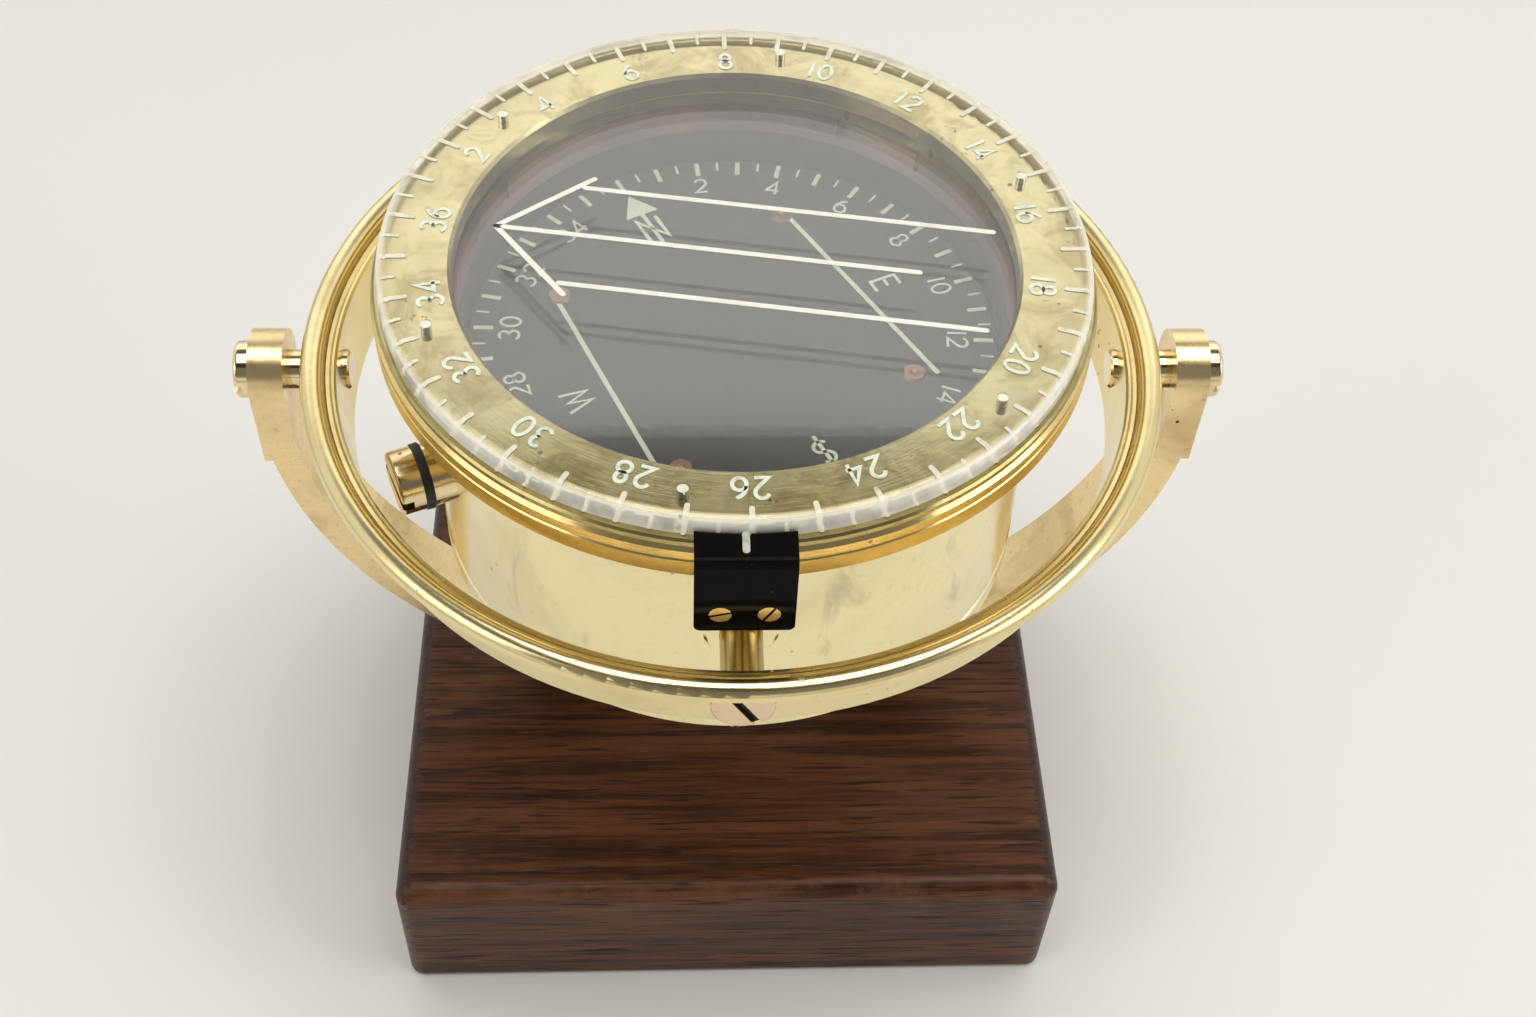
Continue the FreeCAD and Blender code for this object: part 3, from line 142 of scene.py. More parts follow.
# ======================================================================================
# Materials
# ======================================================================================
class Graph:
    """One node material with a Principled shader, and short names for its nodes."""

    def __init__(self, name):
        self.material = bpy.data.materials.new(name)
        self.material.use_nodes = True
        self.tree = self.material.node_tree
        self.tree.nodes.clear()
        self.output = self.tree.nodes.new("ShaderNodeOutputMaterial")
        self.shader = self.tree.nodes.new("ShaderNodeBsdfPrincipled")
        self.join(self.shader.outputs["BSDF"], self.output.inputs["Surface"])
        self.place = self.tree.nodes.new("ShaderNodeTexCoord").outputs["Object"]

    def join(self, source, target):
        self.tree.links.new(source, target)

    def feed(self, target, value):
        """Set a socket to a number or colour, or link another node's output to it."""
        if isinstance(value, bpy.types.NodeSocket):
            self.join(value, target)
        elif isinstance(value, (tuple, list)) and len(value) == 3 and target.type == "RGBA":
            target.default_value = (*value, 1.0)
        else:
            target.default_value = value

    def set(self, **values):
        for label, value in values.items():
            self.feed(self.shader.inputs[label.replace("_", " ")], value)

    def math(self, operation, first, second=0.0, clamp=False):
        node = self.tree.nodes.new("ShaderNodeMath")
        node.operation = operation
        node.use_clamp = clamp
        self.feed(node.inputs[0], first)
        self.feed(node.inputs[1], second)
        return node.outputs[0]

    def stretched(self, x, y, z, vector=None):
        node = self.tree.nodes.new("ShaderNodeMapping")
        self.join(vector or self.place, node.inputs["Vector"])
        node.inputs["Scale"].default_value = (x, y, z)
        return node.outputs["Vector"]

    def parts(self, vector=None):
        node = self.tree.nodes.new("ShaderNodeSeparateXYZ")
        self.join(vector or self.place, node.inputs[0])
        return node.outputs

    def radius(self):
        """Distance from the vertical axis."""
        x, y, _ = self.parts()
        return self.math("SQRT", self.math("ADD", self.math("MULTIPLY", x, x), self.math("MULTIPLY", y, y)))

    def lathe(self, around, across):
        """Coordinates that run round the vertical axis: angle, radius and height, each scaled."""
        x, y, z = self.parts()
        angle = self.math("ARCTAN2", y, x)
        radius = self.radius()
        node = self.tree.nodes.new("ShaderNodeCombineXYZ")
        self.join(self.math("MULTIPLY", angle, around), node.inputs[0])
        self.join(self.math("MULTIPLY", radius, across), node.inputs[1])
        self.join(self.math("MULTIPLY", z, across), node.inputs[2])
        return node.outputs[0]

    def noise(self, scale, detail=3.0, roughness=0.55, vector=None, distortion=0.0):
        node = self.tree.nodes.new("ShaderNodeTexNoise")
        self.join(vector or self.place, node.inputs["Vector"])
        node.inputs["Scale"].default_value = scale
        node.inputs["Detail"].default_value = detail
        node.inputs["Roughness"].default_value = roughness
        node.inputs["Distortion"].default_value = distortion
        return node.outputs["Fac"]

    def cells(self, scale, vector=None):
        """Distance to the nearest of a random set of points, for pits and specks."""
        node = self.tree.nodes.new("ShaderNodeTexVoronoi")
        self.join(vector or self.place, node.inputs["Vector"])
        node.inputs["Scale"].default_value = scale
        return node.outputs["Distance"]

    def between(self, value, low, high, to_low=0.0, to_high=1.0):
        """Smooth step of a value between two limits."""
        node = self.tree.nodes.new("ShaderNodeMapRange")
        node.interpolation_type = "SMOOTHSTEP"
        self.feed(node.inputs["Value"], value)
        node.inputs["From Min"].default_value = low
        node.inputs["From Max"].default_value = high
        node.inputs["To Min"].default_value = to_low
        node.inputs["To Max"].default_value = to_high
        return node.outputs["Result"]

    def blend(self, factor, first, second):
        node = self.tree.nodes.new("ShaderNodeMix")
        node.data_type = "RGBA"
        factors, firsts, seconds = node.inputs[0], node.inputs[6], node.inputs[7]
        self.feed(factors, factor)
        self.feed(firsts, first)
        self.feed(seconds, second)
        return node.outputs[2]

    def bump(self, height, distance, strength=1.0, under=None):
        node = self.tree.nodes.new("ShaderNodeBump")
        node.inputs["Strength"].default_value = strength
        node.inputs["Distance"].default_value = distance
        self.join(height, node.inputs["Height"])
        if under is not None:
            self.join(under, node.inputs["Normal"])
        return node.outputs["Normal"]

    def let_lamps_through(self):
        """Shadow rays pass the clear part, so what is under it is lit."""
        path = self.tree.nodes.new("ShaderNodeLightPath").outputs["Is Shadow Ray"]
        clear = self.tree.nodes.new("ShaderNodeBsdfTransparent")
        mix = self.tree.nodes.new("ShaderNodeMixShader")
        self.join(path, mix.inputs[0])
        self.join(self.shader.outputs["BSDF"], mix.inputs[1])
        self.join(clear.outputs[0], mix.inputs[2])
        self.join(mix.outputs[0], self.output.inputs["Surface"])


def brass(name, bright, dull, roughness=0.2, tarnish=0.35, pits=0.0, turned=0.0, scratches=0.4,
          stain=None):
    """Aged brass: patchy lacquer, spots, fine turning lines and random scratches. A stain is a
    function that changes the colour where the piece is marked in its own way."""
    graph = Graph(name)
    patches = graph.noise(38.0, 5.0, 0.6, distortion=0.4)
    patches = graph.between(patches, 0.42, 0.72)
    colour = graph.blend(graph.math("MULTIPLY", patches, tarnish), bright, dull)
    if stain is not None:
        colour = stain(graph, colour)
    fine = graph.noise(420.0, 4.0, 0.65)
    colour = graph.blend(graph.between(fine, 0.56, 0.72, 0.0, 0.35 * tarnish), colour,
                         tuple(0.45 * c for c in dull))
    specks = graph.math("ADD", graph.cells(260.0), graph.math("MULTIPLY", graph.noise(60.0, 2.0), 0.9))
    spot = graph.between(specks, 0.46, 0.40, 0.0, 1.0)
    colour = graph.blend(graph.math("MULTIPLY", spot, 0.25 + pits, True), colour, (0.10, 0.055, 0.025))
    rub = graph.noise(1.0, 3.0, 0.6, graph.stretched(90.0, 90.0, 900.0))
    around = graph.lathe(6.0, 1800.0)
    lines = graph.noise(1.0, 2.0, 0.7, around)
    smooth = graph.math("ADD", graph.math("MULTIPLY", graph.math("SUBTRACT", rub, 0.5), 0.10 * scratches),
                        graph.math("MULTIPLY", patches, 0.16 * tarnish))
    smooth = graph.math("ADD", smooth, roughness)
    smooth = graph.math("ADD", smooth, graph.math("MULTIPLY", spot, 0.25))
    relief = graph.bump(graph.noise(150.0, 3.0, 0.6), 0.00012, 0.25)
    relief = graph.bump(spot, 0.0001, -0.4 * (0.3 + pits), relief) if pits > 0 else relief
    if turned > 0:
        relief = graph.bump(lines, 0.00004, turned, relief)
    graph.set(Base_Color=colour, Metallic=1.0, Roughness=smooth, Normal=relief)
    return graph.material


def pale_face(graph, colour):
    """The pivot's face is paler than its shank, and its slot is painted near black as shade."""
    pivot_slot_shade = (0.02, 0.014, 0.008)
    pale = (0.80, 0.61, 0.41)
    out = graph.math("ABSOLUTE", graph.parts()[1])
    # painted shade: the slot, from half a millimetre to 1.5 mm below the face, is coloured near black
    slot = graph.between(out, PIVOT_HEAD - 0.0019, PIVOT_HEAD - 0.0015)
    face = graph.between(out, PIVOT_HEAD - 0.0009, PIVOT_HEAD - 0.0005)
    return graph.blend(face, graph.blend(slot, colour, pivot_slot_shade), pale)


def dark_slots(graph, colour):
    """Painted shade darkens the slots, just below the faces of the bracket's screws."""
    screw_slot_shade = (0.03, 0.02, 0.01)
    out = graph.math("ABSOLUTE", graph.parts()[1])
    # painted shade: below their faces, in the slots and down the shanks, the screws are coloured near black
    face = graph.between(out, SCREW_FACE - 0.0003, SCREW_FACE - 0.0001)
    return graph.blend(face, screw_slot_shade, colour)


def verge_patina(graph, colour):
    """Darker and more olive towards the outside of the ring, brown clouds, tan streaks and dark flecks."""
    olive = (0.40, 0.34, 0.14)
    brown = (0.38, 0.29, 0.11)
    tan = (0.52, 0.44, 0.21)
    dark = (0.14, 0.10, 0.04)
    outer_darkening = graph.math("MULTIPLY", graph.between(graph.radius(), 0.0715, 0.0795), 0.55)
    colour = graph.blend(outer_darkening, colour, olive)
    cloud = graph.between(graph.noise(55.0, 6.0, 0.7, distortion=0.8), 0.44, 0.66, 0.0, 0.85)
    colour = graph.blend(cloud, colour, brown)
    streak = graph.noise(1.0, 4.0, 0.65, graph.lathe(26.0, 190.0))
    colour = graph.blend(graph.between(streak, 0.52, 0.70, 0.0, 0.45), colour, tan)
    fleck = graph.between(graph.math("ADD", graph.cells(700.0), graph.noise(120.0, 3.0)), 0.55, 0.47)
    return graph.blend(graph.math("MULTIPLY", fleck, 0.7), colour, dark)


def finger_smudges(graph, colour):
    """Grey upright smudges where the bowl has been handled."""
    smear = graph.noise(1.0, 4.0, 0.6, graph.stretched(95.0, 95.0, 30.0), 0.5)
    smear = graph.math("MULTIPLY", graph.between(smear, 0.58, 0.74), graph.noise(9.0, 1.0))
    return graph.blend(graph.math("MULTIPLY", smear, 1.1, True), colour, (0.34, 0.31, 0.22))


def mahogany():
    """Waxed dark mahogany with its grain along X; its upper front and back edges are lighter with wear and a
    painted highlight, its upper edges at the ends darker.
    """
    dark_wood, red_wood = (0.034, 0.0100, 0.0042), (0.118, 0.040, 0.0150)
    warm_wood, pale_fibre = (0.150, 0.054, 0.023), (0.210, 0.085, 0.034)
    pore_black, end_black = (0.010, 0.004, 0.003), (0.020, 0.011, 0.008)
    worn_edge_and_highlight, dent_black = (0.24, 0.115, 0.057), (0.010, 0.005, 0.004)
    graph = Graph("mahogany")
    x, y, z = graph.parts()
    wander = graph.noise(1.0, 3.0, 0.55, graph.stretched(9.0, 60.0, 60.0))
    figure = graph.noise(1.0, 6.0, 0.65, graph.stretched(15.0, 300.0, 300.0), distortion=0.4)
    colour = graph.blend(graph.between(figure, 0.36, 0.66), dark_wood, red_wood)
    colour = graph.blend(graph.between(wander, 0.45, 0.75, 0.0, 0.4), colour, warm_wood)
    fibres = graph.noise(1.0, 3.0, 0.6, graph.stretched(65.0, 1500.0, 1500.0))
    colour = graph.blend(graph.between(fibres, 0.54, 0.70, 0.0, 0.4), colour, pale_fibre)
    pores = graph.noise(1.0, 2.0, 0.5, graph.stretched(50.0, 1150.0, 1150.0))
    pore = graph.between(pores, 0.585, 0.655)
    colour = graph.blend(graph.math("MULTIPLY", pore, 0.85), colour, pore_black)
    top = graph.between(z, BASE_HIGH.z - 0.0046, BASE_HIGH.z - 0.0014)
    edge_y = graph.between(graph.math("ABSOLUTE", y), BASE_HIGH.y - 0.0048, BASE_HIGH.y - 0.0022)
    edge_x = graph.between(graph.math("ABSOLUTE", x), BASE_HIGH.x - 0.0048, BASE_HIGH.x - 0.0022)
    # wear and painted highlight: the upper front and back edges are lightened in patches
    rubbed_and_sheen = graph.math("MULTIPLY", graph.math("MULTIPLY", edge_y, top),
                        graph.between(graph.noise(45.0, 5.0, 0.7), 0.40, 0.66))
    colour = graph.blend(graph.math("MULTIPLY", graph.math("MULTIPLY", edge_x, top), 0.7), colour, end_black)
    colour = graph.blend(graph.math("MULTIPLY", rubbed_and_sheen, 0.45), colour, worn_edge_and_highlight)
    dents = graph.math("ADD", graph.cells(48.0), graph.math("MULTIPLY", graph.noise(20.0, 2.0), 1.1))
    dent = graph.between(dents, 0.50, 0.44)
    colour = graph.blend(graph.math("MULTIPLY", dent, 0.6), colour, dent_black)
    rough = graph.math("ADD", graph.math("MULTIPLY", figure, 0.16), 0.30)
    rough = graph.math("ADD", rough, graph.math("MULTIPLY", pore, 0.2))
    relief = graph.bump(figure, 0.00015, 0.25)
    relief = graph.bump(pore, 0.00012, -0.5, relief)
    relief = graph.bump(dent, 0.0004, -0.5, relief)
    graph.set(Base_Color=colour, Roughness=rough, Normal=relief, Specular_IOR_Level=0.22,
              Coat_Weight=0.06, Coat_Roughness=0.25)
    return graph.material


def clear_acrylic():
    """Clear disc: polished top, slightly frosted and yellowed round its edge."""
    graph = Graph("clear_acrylic")
    radius = graph.radius()
    edge = graph.between(radius, 0.0772, 0.0788)
    haze = graph.math("MULTIPLY", edge, graph.between(graph.noise(60.0, 4.0, 0.6), 0.30, 0.62, 0.45, 0.80))
    hair = graph.noise(1.0, 2.0, 0.5, graph.stretched(60.0, 1400.0, 60.0))
    scuff = graph.between(hair, 0.66, 0.72)
    rough = graph.math("ADD", graph.math("MULTIPLY", edge, 0.10), 0.006)
    rough = graph.math("ADD", rough, graph.math("MULTIPLY", scuff, 0.01))
    relief = graph.bump(graph.noise(300.0, 2.0), 0.00003, 0.08)
    tint = graph.blend(edge, (0.99, 0.99, 0.975), (0.95, 0.92, 0.80))
    graph.set(Base_Color=tint, Roughness=rough, Normal=relief, IOR=1.49,
              Transmission_Weight=graph.math("SUBTRACT", 1.0, haze))
    graph.let_lamps_through()
    return graph.material


def clear_glass():
    graph = Graph("cover_glass")
    dust = graph.noise(900.0, 2.0, 0.6)
    rough = graph.between(dust, 0.60, 0.80, 0.0, 0.03)
    graph.set(Base_Color=(0.985, 0.995, 0.985), Roughness=rough, Transmission_Weight=1.0, IOR=1.52)
    graph.let_lamps_through()
    return graph.material


def sapphire():
    graph = Graph("jewel")
    cloud = graph.noise(900.0, 3.0, 0.5)
    colour = graph.blend(cloud, (0.42, 0.03, 0.08), (0.62, 0.08, 0.14))
    graph.set(Base_Color=colour, Roughness=graph.between(cloud, 0.3, 0.7, 0.02, 0.08),
              Transmission_Weight=0.6, IOR=1.76)
    return graph.material


def enamel(name, colour, roughness, chips=0.5):
    """Stoved enamel: slightly wavy, with dust and small chips that show metal."""
    graph = Graph(name)
    cloud = graph.noise(120.0, 3.0, 0.6)
    tone = graph.blend(cloud, colour, tuple(1.7 * c + 0.002 for c in colour))
    chip = graph.between(graph.math("ADD", graph.cells(330.0), graph.noise(90.0, 3.0)), 0.52, 0.47)
    tone = graph.blend(graph.math("MULTIPLY", chip, chips), tone, (0.30, 0.21, 0.11))
    rough = graph.math("ADD", graph.math("MULTIPLY", cloud, 0.06), roughness)
    graph.set(Base_Color=tone, Roughness=rough, Normal=graph.bump(cloud, 0.0001, 0.12),
              Specular_IOR_Level=0.03)
    return graph.material


def card_face():
    """Matt black card, a little dusty and faded in patches."""
    graph = Graph("card_face")
    dust = graph.noise(26.0, 5.0, 0.6)
    colour = graph.blend(graph.between(dust, 0.40, 0.70), (0.0065, 0.0060, 0.0058), (0.013, 0.012, 0.0115))
    speck = graph.between(graph.noise(1500.0, 2.0, 0.5), 0.70, 0.76)
    colour = graph.blend(graph.math("MULTIPLY", speck, 0.5), colour, (0.06, 0.055, 0.05))
    relief = graph.bump(graph.noise(2600.0, 2.0), 0.00003, 0.3)
    graph.set(Base_Color=colour, Roughness=graph.between(dust, 0.3, 0.7, 0.55, 0.72), Normal=relief)
    return graph.material


def well_paint():
    """Dark red-brown paint on the dish's sloping edge, black further down."""
    graph = Graph("well_paint")
    z = graph.parts()[2]
    slope = graph.between(z, WELL_TOP - 0.0046, WELL_TOP - 0.0038)
    cloud = graph.noise(70.0, 4.0, 0.6)
    red = graph.blend(graph.between(cloud, 0.35, 0.70), (0.040, 0.011, 0.009), (0.105, 0.034, 0.026))
    colour = graph.blend(slope, (0.006, 0.005, 0.005), red)
    graph.set(Base_Color=colour, Roughness=graph.between(cloud, 0.3, 0.7, 0.32, 0.5),
              Normal=graph.bump(cloud, 0.0002, 0.2))
    return graph.material


def rubber():
    graph = Graph("black_rubber")
    grain = graph.noise(700.0, 3.0, 0.6)
    colour = graph.blend(grain, (0.010, 0.010, 0.010), (0.028, 0.027, 0.026))
    graph.set(Base_Color=colour, Roughness=graph.between(grain, 0.3, 0.7, 0.45, 0.65),
              Normal=graph.bump(grain, 0.00006, 0.4))
    return graph.material


def cork():
    """Varnished cork, as tan as the brass round it."""
    graph = Graph("cork")
    grain = graph.noise(900.0, 4.0, 0.7)
    colour = graph.blend(graph.between(grain, 0.35, 0.68), (0.66, 0.54, 0.30), (0.40, 0.30, 0.14))
    graph.set(Base_Color=colour, Roughness=graph.between(grain, 0.3, 0.7, 0.35, 0.55),
              Normal=graph.bump(grain, 0.00006, 0.4))
    return graph.material


def dull_metal(name, light, dark, roughness):
    """Grey metal that is never polished: lead, magnet steel, tinned sheet, dark screws."""
    graph = Graph(name)
    cloud = graph.noise(160.0, 5.0, 0.65)
    colour = graph.blend(graph.between(cloud, 0.35, 0.68), light, dark)
    graph.set(Base_Color=colour, Metallic=1.0,
              Roughness=graph.between(cloud, 0.3, 0.7, roughness, roughness + 0.2),
              Normal=graph.bump(graph.noise(800.0, 3.0), 0.00005, 0.4))
    return graph.material


def grid_screw_metal():
    """Dark screws whose ends, cemented into the clear disc, are filled white."""
    graph = Graph("grid_screws")
    z = graph.parts()[2]
    white = graph.between(z, DISC_LOW.z + 0.0026, DISC_LOW.z + 0.0030)
    cloud = graph.noise(900.0, 3.0)
    metal = graph.blend(cloud, (0.018, 0.015, 0.012), (0.07, 0.05, 0.035))
    colour = graph.blend(white, metal, (0.62, 0.60, 0.50))
    graph.set(Base_Color=colour, Metallic=0.0, Roughness=graph.between(cloud, 0.3, 0.7, 0.3, 0.5))
    return graph.material


def filled_paint(name, light, stain, wear=0.25, scale=500.0):
    """Hand-filled paint in engraved marks: uneven, stained and lost in places."""
    graph = Graph(name)
    cloud = graph.noise(scale, 4.0, 0.65)
    colour = graph.blend(graph.between(cloud, 0.45, 0.72, 0.0, wear * 3.0), light, stain)
    graph.set(Base_Color=colour, Roughness=graph.between(cloud, 0.3, 0.7, 0.45, 0.65),
              Normal=graph.bump(cloud, 0.00008, 0.35))
    return graph.material


def floor_paper():
    graph = Graph("floor_paper")
    cloud = graph.noise(1.2, 2.0, 0.5)
    grain = graph.noise(500.0, 2.0, 0.5)
    colour = graph.blend(cloud, (0.80, 0.785, 0.755), (0.83, 0.82, 0.795))
    graph.set(Base_Color=colour, Roughness=0.9, Normal=graph.bump(grain, 0.00005, 0.1),
              Specular_IOR_Level=0.1)
    return graph.material


def dress(material, *nodes):
    for node in nodes:
        mesh = NODES[node].data
        mesh.materials.clear()
        mesh.materials.append(material)


# ======================================================================================
# Flat marks
# ======================================================================================
def arc(x, y, width, height, start, end, steps=12):
    """Points on an ellipse round (x, y) from one angle to another, in degrees."""
    points = []
    for step in range(steps + 1):
        angle = math.radians(start + (end - start) * step / steps)
        points.append((x + width * math.cos(angle), y + height * math.sin(angle)))
    return points


# Each sign is one unit high: its width, then its strokes. A stroke that ends where it starts is closed.
SIGNS = {
    "0": (0.60, [arc(0.30, 0.5, 0.30, 0.5, 90, 450, 22)]),
    "1": (0.12, [[(0.06, 0.0), (0.06, 1.0)]]),
    "2": (0.58, [arc(0.29, 0.71, 0.28, 0.29, 165, -38) + [(0.0, 0.0), (0.58, 0.0)]]),
    "3": (0.58, [arc(0.27, 0.76, 0.25, 0.24, 150, -90), arc(0.27, 0.26, 0.30, 0.26, 90, -150)]),
    "4": (0.62, [[(0.46, 0.0), (0.46, 1.0), (0.0, 0.28), (0.62, 0.28)]]),
    "6": (0.58, [arc(0.29, 0.30, 0.29, 0.30, 90, 450, 20),
                 arc(0.62, 0.36, 0.62, 0.64, 108, 176, 8)]),
    "8": (0.58, [arc(0.29, 0.76, 0.23, 0.24, 90, 450, 18), arc(0.29, 0.26, 0.29, 0.26, 90, 450, 20)]),
    "N": (0.66, [[(0.0, 0.0), (0.0, 1.0), (0.66, 0.0), (0.66, 1.0)]]),
    "E": (0.52, [[(0.52, 1.0), (0.0, 1.0), (0.0, 0.0), (0.52, 0.0)], [(0.0, 0.52), (0.42, 0.52)]]),
    "S": (0.58, [arc(0.29, 0.75, 0.26, 0.25, 35, 270) + arc(0.29, 0.25, 0.29, 0.25, 90, -145)]),
    "W": (0.90, [[(0.0, 1.0), (0.22, 0.0), (0.45, 0.85), (0.68, 0.0), (0.90, 1.0)]]),
}
LETTER_GAP = 0.30


def round_ends(points, radius):
    """Extra points and half-widths that round off both ends of a stroke."""
    def cap(end, inner):
        away = Vector((end[0] - inner[0], end[1] - inner[1])).normalized()
        found = []
        for degrees in (90, 60, 30):
            angle = math.radians(degrees)
            place = Vector(end) + away * radius * math.sin(angle)
            found.append((tuple(place), max(radius * math.cos(angle), 0.02 * radius)))
        return found
    head = cap(points[0], points[1])
    tail = cap(points[-1], points[-2])[::-1]
    middle = [(point, radius) for point in points]
    return head + middle + tail


class Marks:
    """A mesh of flat strokes: each has a top, an underside and side walls."""

    def __init__(self, low, high):
        self.mesh = bmesh.new()
        self.low = low
        self.high = high

    def solid(self, rows, place, closed):
        """Skin the strip between left and right points, given as rows of two."""
        rings = []
        for left, right in rows:
            corners = []
            for point, height in ((left, self.high), (right, self.high), (right, self.low), (left, self.low)):
                x, y = place(point)
                corners.append(self.mesh.verts.new((x * MM, y * MM, height)))
            rings.append(corners)
        pairs = list(zip(rings, rings[1:]))
        if closed:
            pairs.append((rings[-1], rings[0]))
        for first, second in pairs:
            for side in range(4):
                after = (side + 1) % 4
                self.mesh.faces.new((first[side], first[after], second[after], second[side]))
        if not closed:
            self.mesh.faces.new(rings[0][::-1])
            self.mesh.faces.new(rings[-1])

    def stroke(self, points, width, place, rounded=False):
        closed = len(points) > 3 and math.dist(points[0], points[-1]) < 1e-6
        if closed:
            points = points[:-1]
        beads = [(point, width / 2) for point in points]
        if rounded and not closed:
            beads = round_ends(points, width / 2)
        count = len(beads)
        rows = []
        for index, (point, half) in enumerate(beads):
            before = beads[index - 1][0] if index > 0 or closed else point
            after = beads[(index + 1) % count][0] if index < count - 1 or closed else point
            incoming = Vector(point) - Vector(before)
            outgoing = Vector(after) - Vector(point)
            incoming = incoming if incoming.length > 0 else outgoing
            outgoing = outgoing if outgoing.length > 0 else incoming
            along = (incoming.normalized() + outgoing.normalized()).normalized()
            miter = min(1.0 / max(along.dot(outgoing.normalized()), 0.35), 2.2)
            side = Vector((-along.y, along.x)) * half * miter
            rows.append((tuple(Vector(point) + side), tuple(Vector(point) - side)))
        self.solid(rows, place, closed)

    def text(self, words, height, width, place, spread=1.0):
        """A line of signs centred on the place, each as high as given."""
        length = sum(SIGNS[sign][0] * spread for sign in words) + LETTER_GAP * (len(words) - 1)
        cursor = -length / 2
        for sign in words:
            for stroke in SIGNS[sign][1]:
                points = [((cursor + x * spread) * height, (y - 0.5) * height) for x, y in stroke]
                self.stroke(points, width, place)
            cursor += SIGNS[sign][0] * spread + LETTER_GAP

    def shape(self, corners, place):
        """A filled outline with straight sides, such as the arrowhead."""
        top = [self.mesh.verts.new((*(Vector(place(corner)) * MM), self.high)) for corner in corners]
        low = [self.mesh.verts.new((*(Vector(place(corner)) * MM), self.low)) for corner in corners]
        self.mesh.faces.new(top)
        self.mesh.faces.new(low[::-1])
        for index in range(len(corners)):
            after = (index + 1) % len(corners)
            self.mesh.faces.new((low[index], low[after], top[after], top[index]))

    def build(self, name, material, body):
        bmesh.ops.recalc_face_normals(self.mesh, faces=self.mesh.faces)
        data = bpy.data.meshes.new(name)
        self.mesh.to_mesh(data)
        self.mesh.free()
        piece = bpy.data.objects.new(name, data)
        bpy.context.scene.collection.objects.link(piece)
        data.materials.append(material)
        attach(piece, body)


def outward(angle, radius):
    """Local plane at a radius whose up is outward: x runs clockwise, seen from above."""
    turn = math.radians(angle)
    out = Vector((math.cos(turn), math.sin(turn)))
    right = Vector((math.sin(turn), -math.cos(turn)))

    def place(point):
        return tuple(out * (radius + point[1]) + right * point[0])
    return place


def heading(angle):
    """Plane through the centre whose x points along the angle and y to its left."""
    turn = math.radians(angle)
    along = Vector((math.cos(turn), math.sin(turn)))
    left = Vector((-math.sin(turn), math.cos(turn)))

    def place(point):
        return tuple(along * point[0] + left * point[1])
    return place


def graduation_angle(graduation):
    """Degrees on the grid ring run clockwise."""
    return ZERO_ANGLE - graduation


def grid_marks():
    low = DISC_LOW.z + MARK_INSET * MM
    high = low + MARK_DEPTH * MM
    ticks = Marks(low, high)
    for graduation in range(0, 360, 5):
        long = graduation % 10 == 0
        inner, outer = LONG_TICK if long else SHORT_TICK
        ticks.stroke([(inner, 0.0), (outer, 0.0)], LONG_TICK_WIDTH if long else SHORT_TICK_WIDTH,
                     heading(graduation_angle(graduation)), True)
    numerals = Marks(low, high)
    for number in range(2, 37, 2):
        numerals.text(str(number), NUMERAL_HEIGHT, NUMERAL_STROKE,
                      outward(graduation_angle(10 * number), NUMERAL_RADIUS), NUMERAL_SPREAD)
    lines = Marks(low, high)
    along = heading(ZERO_ANGLE)
    point = (APEX_REACH, 0.0)
    lines.stroke([point, (MIDDLE_LINE_TAIL, 0.0)], LINE_WIDTH, along, True)
    for side in (-1, 1):
        across = side * SIDE_LINE
        barb_end = (ARROW_BARB[0], side * ARROW_BARB[1])
        lines.stroke([(SIDE_LINE_HEAD, across), (SIDE_LINE_TAIL, across)], LINE_WIDTH, along, True)
        lines.stroke([point, barb_end], LINE_WIDTH, along, True)
    fill = filled_paint("tick_filling", (0.72, 0.69, 0.56), (0.50, 0.48, 0.33), 0.3)
    numeral_fill = filled_paint("numeral_filling", (0.74, 0.79, 0.66), (0.46, 0.52, 0.40), 0.3)
    line_fill = filled_paint("grid_line_filling", (0.84, 0.82, 0.74), (0.62, 0.60, 0.50), 0.15, 260.0)
    ticks.build("grid_ticks", fill, "grid")
    numerals.build("grid_numerals", numeral_fill, "grid")
    lines.build("grid_lines", line_fill, "grid")


def card_angle(bearing):
    return CARD_HEADING - bearing


